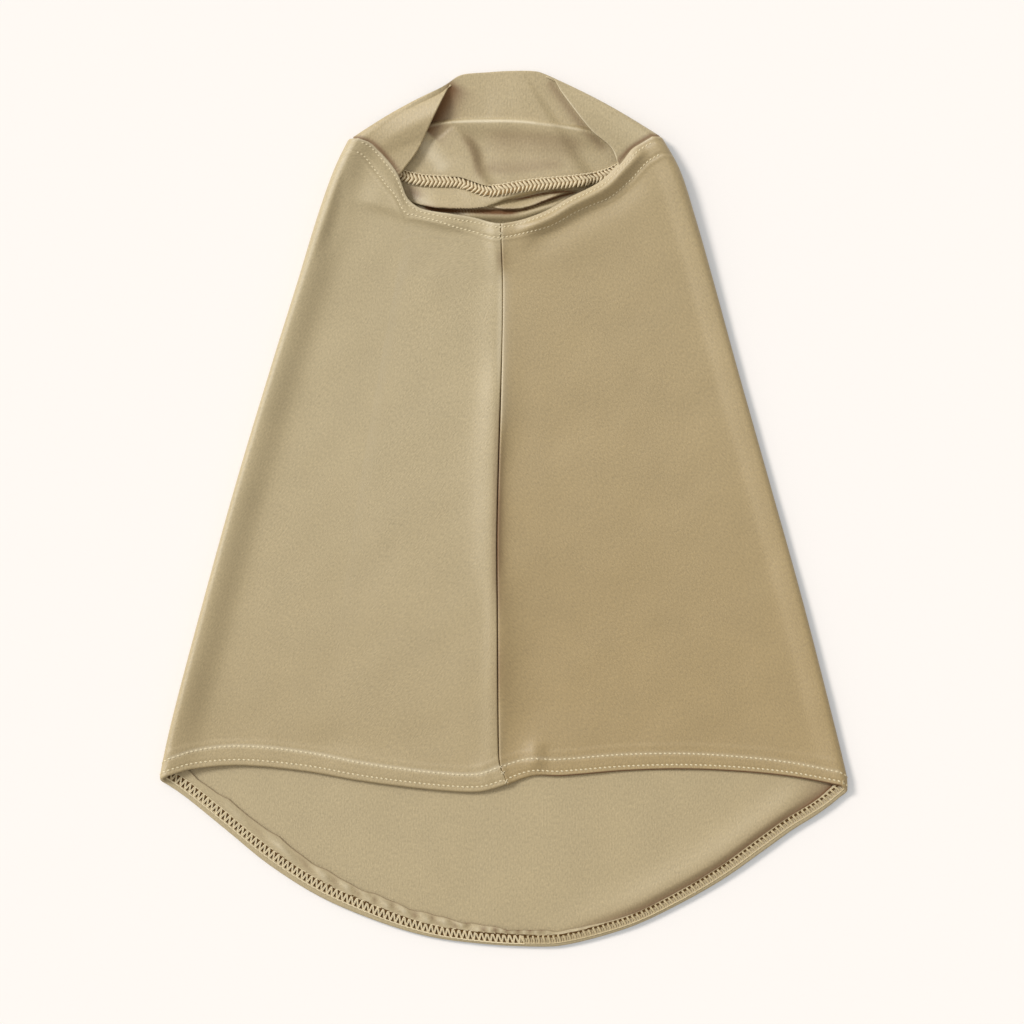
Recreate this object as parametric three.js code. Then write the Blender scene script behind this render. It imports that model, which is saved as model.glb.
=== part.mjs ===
// Instant hijab, laid flat on its back. Millimetres, +Z up, +Y toward the crown.
// The origin is the middle of its footprint, on the surface that it lies on.
// The cape is one cloth wrapped round and joined down the centre front. Lying flat it is a wide
// flattened tube: a back layer on the surface, a front layer above it, and a round fold down each side.

import * as THREE from 'three';

// Cloth
const CLOTH = 1.0;             // one layer of jersey
const BAND_CLOTH = 1.8;        // the crown band is folded in half, two layers
const GAP = 0.3;               // between pieces that lie on each other
const HEM_ALLOWANCE = 15;      // turned-up depth of the bottom hem
const NECK_ALLOWANCE = 11.5;   // turned-under depth of the free neckline
const SEAM_WIDTH = 6;          // width of an overlocked seam allowance
const SEAM_CLOTH = 1.6;        // two layers and thread
const BAND_TUCK = 7;           // how far the band reaches under the free neckline
const SEAM_CLEAR = 2.2;        // the front seam stops this far short of the hem
const GROOVE_DEPTH = 0.5;      // how deep the centre front seam sinks
const GROOVE_HALF = 1.4;       // half the width of that groove

// Rows of the side outline: how far the left and right folds lie from the middle at each height,
// how tall the fold stands, and how much higher the middle of the front layer rises
const SIDES = [
  { y: 216, left: 85.6, right: 88.2, fold: 11.2, crown: 0.8 },
  { y: 211, left: 88.8, right: 91.6, fold: 11.2, crown: 0.8 },
  { y: 194, left: 98.2, right: 101.0, fold: 10.8, crown: 1.0 },
  { y: 167, left: 107.4, right: 109.8, fold: 9.8, crown: 2.0 },
  { y: 131, left: 118.4, right: 120.1, fold: 8.0, crown: 2.6 },
  { y: 85, left: 132.7, right: 132.7, fold: 6.8, crown: 2.6 },
  { y: 16, left: 153.4, right: 152.2, fold: 6.6, crown: 2.4 },
  { y: -52, left: 172.3, right: 171.2, fold: 6.6, crown: 2.4 },
  { y: -121, left: 190.5, right: 188.9, fold: 7.2, crown: 2.2 },
  { y: -152, left: 197.0, right: 196.4, fold: 8.0, crown: 1.6 },
  { y: -158, left: 197.0, right: 197.0, fold: 8.0, crown: 1.6 },
  { y: -260, left: 197.0, right: 197.0, fold: 8.0, crown: 1.6 },
];

// The edges of the cape from left to right
const FRONT_NECK = [
  { x: -83.0, y: 211.6 }, { x: -75.1, y: 208.4 }, { x: -66.2, y: 199.3 }, { x: -59.3, y: 190.7 },
  { x: -50.7, y: 175.0 }, { x: -43.9, y: 170.9 }, { x: -31.5, y: 168.9 }, { x: -17.0, y: 167.2 },
  { x: -1.7, y: 163.6 }, { x: 13.2, y: 166.0 }, { x: 24.4, y: 170.2 }, { x: 37.0, y: 177.7 },
  { x: 55.3, y: 187.2 }, { x: 66.2, y: 198.1 }, { x: 74.3, y: 206.4 }, { x: 86.0, y: 213.4 },
];
const BACK_NECK = [
  { x: -83.0, y: 211.6 }, { x: -74.0, y: 206.0 }, { x: -57.6, y: 195.8 }, { x: -48.0, y: 192.6 },
  { x: -29.0, y: 191.6 }, { x: -9.2, y: 185.4 }, { x: 3.0, y: 187.6 }, { x: 18.0, y: 190.2 },
  { x: 37.0, y: 192.6 }, { x: 55.3, y: 196.2 }, { x: 72.0, y: 204.6 }, { x: 86.0, y: 213.4 },
];
const FRONT_HEM = [
  { x: -193.0, y: -153.4 }, { x: -178.6, y: -149.3 }, { x: -150.5, y: -147.2 }, { x: -113.8, y: -150.5 },
  { x: -84.0, y: -155.7 }, { x: -59.3, y: -159.1 }, { x: -34.1, y: -161.7 }, { x: -13.5, y: -162.3 },
  { x: 0.9, y: -158.5 }, { x: 16.9, y: -153.2 }, { x: 32.4, y: -153.4 }, { x: 69.7, y: -150.4 },
  { x: 105.8, y: -149.5 }, { x: 139.6, y: -151.1 }, { x: 167.1, y: -154.0 }, { x: 193.0, y: -158.8 },
];
const BACK_HEM = [
  { x: -193.0, y: -153.4 }, { x: -179.2, y: -167.7 }, { x: -157.4, y: -185.5 }, { x: -135.0, y: -203.8 },
  { x: -105.8, y: -222.2 }, { x: -73.7, y: -236.0 }, { x: -43.9, y: -245.1 }, { x: -13.5, y: -249.4 },
  { x: 15.2, y: -250.9 }, { x: 34.7, y: -249.7 }, { x: 68.5, y: -240.6 }, { x: 90.3, y: -231.4 },
  { x: 123.6, y: -213.0 }, { x: 150.5, y: -194.6 }, { x: 178.0, y: -176.3 }, { x: 193.0, y: -158.8 },
];

// The centre front seam wanders a little as it runs down
const FRONT_SEAM = [
  { y: 200, x: -1.7 }, { y: 154, x: -1.4 }, { y: 125, x: -0.4 }, { y: 91, x: -0.9 }, { y: -10, x: -3.7 },
  { y: -136, x: -2.8 }, { y: -165, x: -1.0 },
];

// Soft folds: straight ridges or valleys from one end to the other, with a half width and a rise
const FRONT_FOLDS = [
  { fromX: -80, fromY: 178, toX: -22, toY: 152, half: 7, rise: 0.9 },
  { fromX: 8, fromY: 146, toX: 3, toY: -20, half: 9, rise: -0.9 },
  { fromX: 74, fromY: 190, toX: 20, toY: 152, half: 8, rise: -0.8 },
  { fromX: -93, fromY: 178, toX: -98, toY: 160, half: 4, rise: -0.9 },
  { fromX: -60, fromY: -120, toX: -10, toY: -150, half: 10, rise: 0.7 },
];
const BACK_FOLDS = [
  { fromX: -52, fromY: 177, toX: -8, toY: 172.5, half: 3.2, rise: 2.6 },
  { fromX: -8, fromY: 172.5, toX: 50, toY: 182, half: 3.2, rise: 2.6 },
  { fromX: -24, fromY: 165.5, toX: 30, toY: 167, half: 2.8, rise: 2.4 },
];
const BAND_FOLDS = [
  { fromX: -42, fromY: 219, toX: 32, toY: 218, half: 5, rise: 1.0 },
  { fromX: -12, fromY: 205, toX: 40, toY: 207, half: 6, rise: 0.4 },
];

// The crown band: the folded face edge that shows on each side, from the neckline up to the crown,
// and the crown edge between them
const FACE_EDGE_LEFT = [
  { x: -56.5, y: 183.5 }, { x: -50.4, y: 205.0 }, { x: -43.3, y: 219.9 }, { x: -36.4, y: 232.0 },
  { x: -30.1, y: 243.4 }, { x: -27.4, y: 247.4 },
];
const FACE_EDGE_RIGHT = [
  { x: 66.8, y: 190.5 }, { x: 62.2, y: 205.6 }, { x: 49.6, y: 217.0 }, { x: 32.4, y: 239.4 },
  { x: 29.5, y: 243.1 }, { x: 24.9, y: 248.6 },
];
const CROWN_EDGE = [
  { x: -27.4, y: 247.4 }, { x: -20.9, y: 249.1 }, { x: -10.0, y: 250.0 }, { x: 3.2, y: 250.8 },
  { x: 18.6, y: 250.6 }, { x: 24.9, y: 248.6 },
];
const CORNER_LEFT = { x: -82.6, y: 215.6 };
const CORNER_RIGHT = { x: 86.2, y: 216.6 };
const BAND_FOLD_RADIUS_LOW = 4.6;    // how round the band turns forward at the neck
const BAND_FOLD_RADIUS_HIGH = 2.9;   // and at the crown

// How finely each piece is divided
const FRONT_STEPS = 11;        // on each side of the centre front seam
const BACK_STEPS = 22;
const FOLD_STEPS = 4;
const EDGE_STEPS = 30;         // along the hems and seams
const CAPE_ROWS = [
  0, 0.0145, 0.021, 0.028, 0.035, 0.042, 0.05, 0.06, 0.075, 0.1, 0.14, 0.19, 0.26, 0.34, 0.43, 0.53, 0.63,
  0.73, 0.83, 0.9, 0.95, 0.98, 1,
];

// Smooth value of one column of a table at a given key
function smooth(rows, key, column, at) {
  const last = rows.length - 1;
  if (at <= rows[0][key]) return rows[0][column];
  if (at >= rows[last][key]) return rows[last][column];
  let i = 0;
  while (rows[i + 1][key] < at) i += 1;
  const span = rows[i + 1][key] - rows[i][key];
  const slopeAt = (k) => {
    const low = Math.max(k - 1, 0);
    const high = Math.min(k + 1, last);
    return (rows[high][column] - rows[low][column]) / (rows[high][key] - rows[low][key]);
  };
  const t = (at - rows[i][key]) / span;
  const rise = rows[i + 1][column] - rows[i][column];
  const startSlope = slopeAt(i) * span;
  const endSlope = slopeAt(i + 1) * span;
  const square = t * t;
  const cube = square * t;
  return rows[i][column] + (cube - 2 * square + t) * startSlope + (3 * square - 2 * cube) * rise
    + (cube - square) * endSlope;
}

const SIDES_UP = [...SIDES].reverse();
const SEAM_UP = [...FRONT_SEAM].reverse();
const sideValue = (column, y) => smooth(SIDES_UP, 'y', column, y);
const seamX = (y) => smooth(SEAM_UP, 'y', 'x', y);

// Height that soft folds add at a point: the highest ridge and the deepest valley there
function foldRise(folds, x, y) {
  let ridge = 0;
  let valley = 0;
  for (const fold of folds) {
    const alongX = fold.toX - fold.fromX;
    const alongY = fold.toY - fold.fromY;
    const share = ((x - fold.fromX) * alongX + (y - fold.fromY) * alongY) / (alongX ** 2 + alongY ** 2);
    const t = Math.min(Math.max(share, 0), 1);
    const away = Math.hypot(x - fold.fromX - t * alongX, y - fold.fromY - t * alongY) / fold.half;
    const rise = fold.rise * Math.exp(-away * away);
    ridge = Math.max(ridge, rise);
    valley = Math.min(valley, rise);
  }
  return ridge + valley;
}

// Where a point lies across the flat part of the cape: -1 at the left fold, 1 at the right one
function across(x, y) {
  const left = -sideValue('left', y) + sideValue('fold', y) / 2;
  const right = sideValue('right', y) - sideValue('fold', y) / 2;
  return (2 * x - left - right) / (right - left);
}

function fromAcross(s, y) {
  const left = -sideValue('left', y) + sideValue('fold', y) / 2;
  const right = sideValue('right', y) - sideValue('fold', y) / 2;
  return ((right - left) * s + left + right) / 2;
}

const byAcross = (rows) => rows.map((row) => ({ s: across(row.x, row.y), y: row.y }));
const EDGES = {
  front: { top: byAcross(FRONT_NECK), bottom: byAcross(FRONT_HEM) },
  back: { top: byAcross(BACK_NECK), bottom: byAcross(BACK_HEM) },
};
const edgeY = (layer, edge, s) => smooth(EDGES[layer][edge], 's', 'y', s);

function frontHeight(x, y) {
  const s = Math.min(Math.max(across(x, y), -1), 1);
  const bow = sideValue('crown', y) * (1 - s * s);
  return sideValue('fold', y) + bow + foldRise(FRONT_FOLDS, x, y) * (1 - s ** 6);
}

// Round the cape in order: front from the seam to the left, left fold, back, right fold, front again
function capeStations() {
  const stations = [{ layer: 'front', groove: 1 }, { layer: 'front', beside: -1 }];
  for (let i = 1; i <= FRONT_STEPS; i += 1) stations.push({ layer: 'front', s: -i / FRONT_STEPS });
  for (let i = 1; i < FOLD_STEPS; i += 1) {
    stations.push({ layer: 'fold', s: -1, turn: 1 - (2 * i) / FOLD_STEPS });
  }
  for (let i = 0; i <= BACK_STEPS; i += 1) stations.push({ layer: 'back', s: (2 * i) / BACK_STEPS - 1 });
  for (let i = 1; i < FOLD_STEPS; i += 1) {
    stations.push({ layer: 'fold', s: 1, turn: (2 * i) / FOLD_STEPS - 1 });
  }
  for (let i = FRONT_STEPS; i >= 1; i -= 1) stations.push({ layer: 'front', s: i / FRONT_STEPS });
  stations.push({ layer: 'front', beside: 1 });
  return stations;
}

// A point of the cape at a height y, a depth inside its outer face
function capePointAt(station, y, depth) {
  const fold = sideValue('fold', y);
  if (station.layer === 'fold') {
    const radius = fold / 2;
    const angle = (station.turn * Math.PI) / 2;
    const centre = station.s < 0 ? radius - sideValue('left', y) : sideValue('right', y) - radius;
    const reach = radius - depth;
    const x = centre + station.s * reach * Math.cos(angle);
    return new THREE.Vector3(x, y, radius + reach * Math.sin(angle));
  }
  if (station.layer === 'back') {
    const x = fromAcross(station.s, y);
    return new THREE.Vector3(x, y, depth + foldRise(BACK_FOLDS, x, y));
  }
  if (station.groove) {
    const x = seamX(y);
    const sink = depth === 0 ? GROOVE_DEPTH : 0;
    return new THREE.Vector3(x, y, frontHeight(x, y) - depth - sink);
  }
  if (station.beside) {
    const x = seamX(y) + station.beside * GROOVE_HALF;
    return new THREE.Vector3(x, y, frontHeight(x, y) - depth);
  }
  const x = fromAcross(station.s, y);
  return new THREE.Vector3(x, y, frontHeight(x, y) - depth);
}

// The top and bottom height of the cape at a station
function capeSpan(station) {
  const layer = station.layer === 'back' ? 'back' : 'front';
  const s = station.s === undefined ? 0 : station.s;
  return { top: edgeY(layer, 'top', s), bottom: edgeY(layer, 'bottom', s) };
}

// A closed body between two grids of points. A ring joins its last column to its first.
function bodyBetween(outer, inner, ring) {
  const rows = outer.length;
  const columns = outer[0].length;
  const positions = [];
  for (const grid of [outer, inner]) {
    for (const row of grid) {
      for (const point of row) positions.push(point.x, point.y, point.z);
    }
  }
  const outerAt = (i, j) => i * columns + (j % columns);
  const innerAt = (i, j) => rows * columns + outerAt(i, j);
  const indices = [];
  const quad = (a, b, c, d) => indices.push(a, b, c, a, c, d);
  const spans = ring ? columns : columns - 1;
  for (let j = 0; j < spans; j += 1) {
    for (let i = 0; i < rows - 1; i += 1) {
      quad(outerAt(i, j), outerAt(i + 1, j), outerAt(i + 1, j + 1), outerAt(i, j + 1));
      quad(innerAt(i, j), innerAt(i, j + 1), innerAt(i + 1, j + 1), innerAt(i + 1, j));
    }
    quad(outerAt(0, j), outerAt(0, j + 1), innerAt(0, j + 1), innerAt(0, j));
    quad(outerAt(rows - 1, j), innerAt(rows - 1, j), innerAt(rows - 1, j + 1), outerAt(rows - 1, j + 1));
  }
  if (!ring) {
    for (let i = 0; i < rows - 1; i += 1) {
      quad(outerAt(i, 0), innerAt(i, 0), innerAt(i + 1, 0), outerAt(i + 1, 0));
      quad(outerAt(i, spans), outerAt(i + 1, spans), innerAt(i + 1, spans), innerAt(i, spans));
    }
  }
  const geometry = new THREE.BufferGeometry();
  geometry.setAttribute('position', new THREE.Float32BufferAttribute(positions, 3));
  geometry.setIndex(facingOut(positions, indices));
  geometry.computeVertexNormals();
  return geometry;
}

// The same triangles, turned round where they enclose a negative volume
function facingOut(positions, indices) {
  const corner = (k) => new THREE.Vector3().fromArray(positions, 3 * indices[k]);
  let volume = 0;
  for (let k = 0; k < indices.length; k += 3) volume += corner(k).cross(corner(k + 1)).dot(corner(k + 2));
  if (volume > 0) return indices;
  return [...indices].reverse();
}

function cloth(name, geometry, color, roughness) {
  const material = new THREE.MeshStandardMaterial({ color, roughness, metalness: 0 });
  const mesh = new THREE.Mesh(geometry, material);
  mesh.name = name;
  return mesh;
}

// The wrap-round body cloth
function makeCape() {
  const stations = capeStations();
  const gridAt = (depth) => CAPE_ROWS.map((share) => stations.map((station) => {
    const span = capeSpan(station);
    return capePointAt(station, THREE.MathUtils.lerp(span.top, span.bottom, share), depth);
  }));
  return cloth('cape', bodyBetween(gridAt(0), gridAt(CLOTH), true), '#b9a57f', 0.9);
}

// How steeply the bottom edge runs at a station, so that the hem keeps its depth square to the edge
function hemSlope(station) {
  const step = 0.02;
  const slopeOf = (layer, s) => {
    const low = edgeY(layer, 'bottom', s - step);
    const high = edgeY(layer, 'bottom', s + step);
    const width = 2 * step * (sideValue('left', 0) + sideValue('right', 0)) / 2;
    return (high - low) / width;
  };
  const inner = 0.96;
  if (station.layer === 'fold') {
    const share = (station.turn + 1) / 2;
    const front = slopeOf('front', station.s * inner);
    const back = slopeOf('back', station.s * inner);
    return THREE.MathUtils.lerp(Math.abs(back), Math.abs(front), share);
  }
  const s = Math.min(Math.max(station.s === undefined ? 0 : station.s, -inner), inner);
  return Math.abs(slopeOf(station.layer, s));
}

// The bottom edge turned up inside, all the way round
function makeHem() {
  const stations = capeStations().filter((station) => !station.groove);
  const from = CLOTH + GAP;
  const gridAt = (depth) => [1, 0.5, 0].map((share) => stations.map((station) => {
    const rise = HEM_ALLOWANCE * Math.hypot(1, hemSlope(station)) * share;
    return capePointAt(station, capeSpan(station).bottom + GAP + rise, depth);
  }));
  return cloth('hem', bodyBetween(gridAt(from), gridAt(from + CLOTH), true), '#b5a07a', 0.9);
}

// The free neckline edge turned under, from one side fold to the other
function makeNeckHem() {
  const reach = 0.9;
  const from = CLOTH + GAP;
  const steps = Array.from({ length: EDGE_STEPS + 1 }, (_, i) => ((2 * i) / EDGE_STEPS - 1) * reach);
  const gridAt = (depth) => [0, 0.5, 1].map((share) => steps.map((s) => {
    const y = edgeY('front', 'top', s) - GAP - NECK_ALLOWANCE * share;
    return capePointAt({ layer: 'front', s }, y, depth);
  }));
  return cloth('neck_hem', bodyBetween(gridAt(from), gridAt(from + CLOTH), false), '#b5a07a', 0.9);
}

// The overlocked allowance behind the centre front seam, pressed to the left
function makeFrontSeam() {
  const top = edgeY('front', 'top', 0) - NECK_ALLOWANCE - 2 * GAP;
  const bottom = edgeY('front', 'bottom', 0) + HEM_ALLOWANCE + SEAM_CLEAR;
  const gridAt = (depth) => Array.from({ length: EDGE_STEPS + 1 }, (_, i) => {
    const y = THREE.MathUtils.lerp(top, bottom, i / EDGE_STEPS);
    return [0, 1].map((share) => {
      const x = seamX(y) - SEAM_WIDTH * share;
      return new THREE.Vector3(x, y, frontHeight(x, y) - depth);
    });
  });
  const from = CLOTH + GAP;
  return cloth('front_seam', bodyBetween(gridAt(from), gridAt(from + SEAM_CLOTH), false), '#c4b18c', 0.9);
}

// The overlocked allowance along the back neck, lying on the top of the back layer
function makeNeckSeam() {
  const skipped = 2;
  const count = BACK_STEPS + 1 - 2 * skipped;
  const steps = Array.from({ length: count }, (_, i) => (2 * (i + skipped)) / BACK_STEPS - 1);
  const gridAt = (depth) => [0, 0.5, 1].map((share) => steps.map((s) => {
    const y = edgeY('back', 'top', s) - GAP - SEAM_WIDTH * share;
    return capePointAt({ layer: 'back', s }, y, depth);
  }));
  const from = CLOTH + GAP;
  return cloth('neck_seam', bodyBetween(gridAt(from + SEAM_CLOTH), gridAt(from), false), '#c4b18c', 0.9);
}

// A point at a share of the way along a row of points
function alongPath(points, share) {
  const corners = points.map((point) => new THREE.Vector3(point.x, point.y, 0));
  const curve = new THREE.CatmullRomCurve3(corners, false, 'centripetal');
  return curve.getPoint(share);
}

// One half of the band's front: from under the neckline out to the side fold
function lapelStations(side) {
  const count = 7;
  const edge = side < 0 ? FACE_EDGE_LEFT : FACE_EDGE_RIGHT;
  const startS = across(edge[0].x, edge[0].y);
  const endS = side * 0.88;
  return Array.from({ length: count }, (_, i) => {
    const share = i / count;
    const s = THREE.MathUtils.lerp(startS, endS, share);
    const y = edgeY('front', 'top', s) - BAND_TUCK;
    const low = new THREE.Vector3(fromAcross(s, y), y, 0);
    low.z = frontHeight(low.x, low.y) - CLOTH - GAP - CLOTH - GAP;
    const high = alongPath(edge, share);
    high.z = THREE.MathUtils.lerp(low.z, 2 * BAND_FOLD_RADIUS_HIGH, share * share);
    const inward = new THREE.Vector3(0, 0, -1);
    return { low, high, lowInward: inward, highInward: inward };
  });
}

// The band turning from front to back along one side of the crown
function bandFoldStations(side) {
  const corner = side < 0 ? CORNER_LEFT : CORNER_RIGHT;
  const peak = side < 0 ? CROWN_EDGE[0] : CROWN_EDGE[CROWN_EDGE.length - 1];
  const along = new THREE.Vector3(peak.x - corner.x, peak.y - corner.y, 0).normalize();
  const outward = new THREE.Vector3(side * along.y, -side * along.x, 0);
  const place = (end, radius, angle) => {
    const centre = new THREE.Vector3(end.x, end.y, 0).addScaledVector(outward, -radius);
    const turned = outward.clone().multiplyScalar(Math.cos(angle));
    turned.z = Math.sin(angle);
    const point = centre.addScaledVector(turned, radius).setZ(radius + radius * turned.z);
    return { point, inward: turned.negate() };
  };
  return Array.from({ length: FOLD_STEPS + 1 }, (_, i) => {
    const angle = (Math.PI / 2) * (1 - (2 * i) / FOLD_STEPS);
    const low = place(corner, BAND_FOLD_RADIUS_LOW, angle);
    const high = place(peak, BAND_FOLD_RADIUS_HIGH, angle);
    return { low: low.point, high: high.point, lowInward: low.inward, highInward: high.inward };
  });
}

// The back of the band, from the left side to the right
function bandBackStations() {
  return Array.from({ length: BACK_STEPS - 1 }, (_, i) => {
    const share = (i + 1) / BACK_STEPS;
    const s = 2 * share - 1;
    const y = edgeY('back', 'top', s) + GAP;
    const low = new THREE.Vector3(fromAcross(s, y), y, 0);
    const high = alongPath(CROWN_EDGE, share);
    const inward = new THREE.Vector3(0, 0, 1);
    return { low, high, lowInward: inward, highInward: inward };
  });
}

// The doubled crown band: one strip that runs from the left of the face, round the back, to the right
function makeCrownBand() {
  const stations = [
    ...lapelStations(-1),
    ...bandFoldStations(-1),
    ...bandBackStations(),
    ...bandFoldStations(1).reverse(),
    ...lapelStations(1).reverse(),
  ];
  const shares = [0, 0.12, 0.25, 0.4, 0.55, 0.7, 0.85, 0.96, 1];
  const gridAt = (depthAt) => shares.map((share) => stations.map((station) => {
    const point = station.low.clone().lerp(station.high, share);
    const inward = station.lowInward.clone().lerp(station.highInward, share).normalize();
    point.addScaledVector(inward, depthAt(share));
    if (inward.z > 0.99) point.z += foldRise(BAND_FOLDS, point.x, point.y);
    return point;
  }));
  const rounding = (share) => (share === 1 ? BAND_CLOTH / 4 : 0);
  const outer = gridAt((share) => rounding(share));
  const inner = gridAt((share) => BAND_CLOTH - rounding(share));
  return cloth('crown_band', bodyBetween(outer, inner, false), '#b9a57f', 0.88);
}

const hijab = new THREE.Group();
hijab.add(makeCape(), makeFrontSeam(), makeHem(), makeNeckHem(), makeCrownBand(), makeNeckSeam());

export default hijab;
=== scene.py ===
"""Instant hijab laid flat on its back, built in the order it is sewn. Metres, +Z up, +Y to the crown."""
import math

import bpy
import numpy as np
from mathutils import Matrix, Vector


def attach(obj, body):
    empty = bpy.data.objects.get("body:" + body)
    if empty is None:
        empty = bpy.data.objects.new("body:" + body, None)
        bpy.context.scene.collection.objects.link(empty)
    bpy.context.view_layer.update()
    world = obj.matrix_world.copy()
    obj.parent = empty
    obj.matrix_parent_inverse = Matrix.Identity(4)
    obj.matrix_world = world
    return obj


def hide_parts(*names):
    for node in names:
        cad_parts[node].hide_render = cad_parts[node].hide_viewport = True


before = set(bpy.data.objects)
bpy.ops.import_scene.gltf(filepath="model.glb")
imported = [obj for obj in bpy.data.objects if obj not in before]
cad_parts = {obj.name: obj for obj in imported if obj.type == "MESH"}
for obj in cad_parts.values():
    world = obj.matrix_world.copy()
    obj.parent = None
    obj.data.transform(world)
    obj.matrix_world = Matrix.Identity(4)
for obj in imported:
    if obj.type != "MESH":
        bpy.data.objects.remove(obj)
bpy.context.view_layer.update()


# The studio. A pale paper floor, a camera straight above, and one soft lamp high on the left of a pale room.
# The picture's middle and width are where the photograph puts the garment.
PICTURE_WIDTH = 0.5872
PICTURE_MIDDLE = (0.00487, -0.0020)
CAMERA_HEIGHT = 3.0
LAMP_HEIGHT_ANGLE = math.radians(35)
LAMP_TURN = math.radians(34)        # from straight left toward the crown
LAMP_SPREAD = math.radians(17)      # how wide the far soft lamp is seen from the floor
LAMP_STRENGTH = 2.62
LAMP_COLOUR = (0.972, 0.995, 1.06)
ROOM_STRENGTH = 0.53                # even light of the pale room
ROOM_COLOUR = (1.0, 0.955, 0.88, 1)
WINDOW_STRENGTH = 0.54              # broad light that comes in low from the same side as the lamp
WINDOW_COLOUR = (0.92, 1.0, 1.1, 1)
TO_WINDOW = (-math.cos(LAMP_TURN) * 0.94, math.sin(LAMP_TURN) * 0.94, 0.34)
FLOOR_SIZE = 6
FLOOR_DROP = 0.0003                 # the paper lies this far below the cloth
PAPER_FIBRES = 900.0
PAPER_SHADE = (0.812, 0.708, 0.598, 1)
PAPER_PALE = (0.824, 0.718, 0.608, 1)
PAPER_GLOW = (0.102, 0.168, 0.235, 1)


def deselect():
    bpy.ops.object.select_all(action="DESELECT")


def put(tree, kind, settings=None, inputs=None):
    """A node in a tree. inputs gives a value or the socket that is linked to each named or numbered input."""
    node = tree.nodes.new(kind)
    for name, value in (settings or {}).items():
        setattr(node, name, value)
    for name, value in (inputs or {}).items():
        if isinstance(value, bpy.types.NodeSocket):
            tree.links.new(value, node.inputs[name])
        else:
            node.inputs[name].default_value = value
    return node


def maths(tree, operation, *values, clamp=False):
    node = put(tree, "ShaderNodeMath", {"operation": operation, "use_clamp": clamp}, dict(enumerate(values)))
    return node.outputs[0]


def noise(tree, spot, scale, detail=2.0, roughness=0.5):
    node = put(tree, "ShaderNodeTexNoise", inputs={
        "Vector": spot, "Scale": scale, "Detail": detail, "Roughness": roughness})
    return node.outputs["Fac"]


def blend(tree, factor, low, high, how="MIX"):
    """The colour that lies a factor of the way from low to high."""
    node = put(tree, "ShaderNodeMix", {"data_type": "RGBA", "blend_type": how}, {
        "Factor": factor, 6: low, 7: high})
    return node.outputs[2]


def surfaced(tree, inputs):
    surface = put(tree, "ShaderNodeBsdfPrincipled", inputs=inputs)
    put(tree, "ShaderNodeOutputMaterial", inputs={"Surface": surface.outputs[0]})


def new_material(name):
    material = bpy.data.materials.new(name)
    material.use_nodes = True
    material.node_tree.nodes.clear()
    return material, material.node_tree


deselect()
bpy.ops.object.camera_add(location=(*PICTURE_MIDDLE, CAMERA_HEIGHT), rotation=(0, 0, 0))
camera = bpy.context.object
camera.name = "camera"
camera.data.lens = camera.data.sensor_width * CAMERA_HEIGHT / PICTURE_WIDTH
camera.data.clip_end = 20
bpy.context.scene.camera = camera
bpy.context.scene.view_settings.view_transform = "Standard"

to_lamp = Vector((
    -math.cos(LAMP_HEIGHT_ANGLE) * math.cos(LAMP_TURN),
    math.cos(LAMP_HEIGHT_ANGLE) * math.sin(LAMP_TURN),
    math.sin(LAMP_HEIGHT_ANGLE),
))
bpy.ops.object.light_add(type="SUN", location=to_lamp * 2)
lamp = bpy.context.object
lamp.name = "soft_light"
lamp.rotation_euler = to_lamp.to_track_quat("Z", "Y").to_euler()
lamp.data.angle = LAMP_SPREAD
lamp.data.energy = LAMP_STRENGTH
lamp.data.color = LAMP_COLOUR

world = bpy.data.worlds.new("studio")
world.use_nodes = True
room = world.node_tree
toward = put(room, "ShaderNodeTexCoord")
side_light = put(room, "ShaderNodeVectorMath", {"operation": "DOT_PRODUCT"}, {
    0: toward.outputs["Generated"], 1: TO_WINDOW})
lobe = maths(room, "MAXIMUM", side_light.outputs["Value"], 0.0)
window = maths(room, "MULTIPLY", maths(room, "POWER", lobe, 2.0), WINDOW_STRENGTH)
even = put(room, "ShaderNodeBackground", inputs={"Color": ROOM_COLOUR, "Strength": ROOM_STRENGTH})
from_window = put(room, "ShaderNodeBackground", inputs={"Color": WINDOW_COLOUR, "Strength": window})
both_lights = put(room, "ShaderNodeAddShader", inputs={0: even.outputs[0], 1: from_window.outputs[0]})
room.nodes.remove(room.nodes["Background"])
room.links.new(both_lights.outputs[0], room.nodes["World Output"].inputs["Surface"])
bpy.context.scene.world = world

bpy.ops.mesh.primitive_plane_add(size=FLOOR_SIZE, location=(0, 0, -FLOOR_DROP))
floor = bpy.context.object
floor.name = "floor"
floor.data.transform(floor.matrix_world)
floor.matrix_world = Matrix.Identity(4)
paper, tree = new_material("pale_paper")
spot = put(tree, "ShaderNodeTexCoord")
fibres = noise(tree, spot.outputs["Object"], PAPER_FIBRES)
surfaced(tree, {
    "Base Color": blend(tree, fibres, PAPER_SHADE, PAPER_PALE), "Roughness": 0.95, "Specular IOR Level": 0.1,
    "Emission Color": PAPER_GLOW, "Emission Strength": 1.0})
floor.data.materials.append(paper)


# The cape: one cloth of fine single jersey wrapped round the body and joined down the centre front.
# Laid flat it is a wide flattened tube, open inside, with a soft rolled fold down each side.
# Its tables and sizes are in millimetres.
MM = 0.001
CLOTH = 0.8                # thickness of one layer
HEM_TURN = 1.0             # radius of the fold at the hem and the front neckline
SEAM_TURN = 0.85           # radius where the two front edges turn down into the seam
SEAM_SINK = 2.0            # how deep they go
SEAM_GAP = 0.2             # and half the gap left between them

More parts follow.
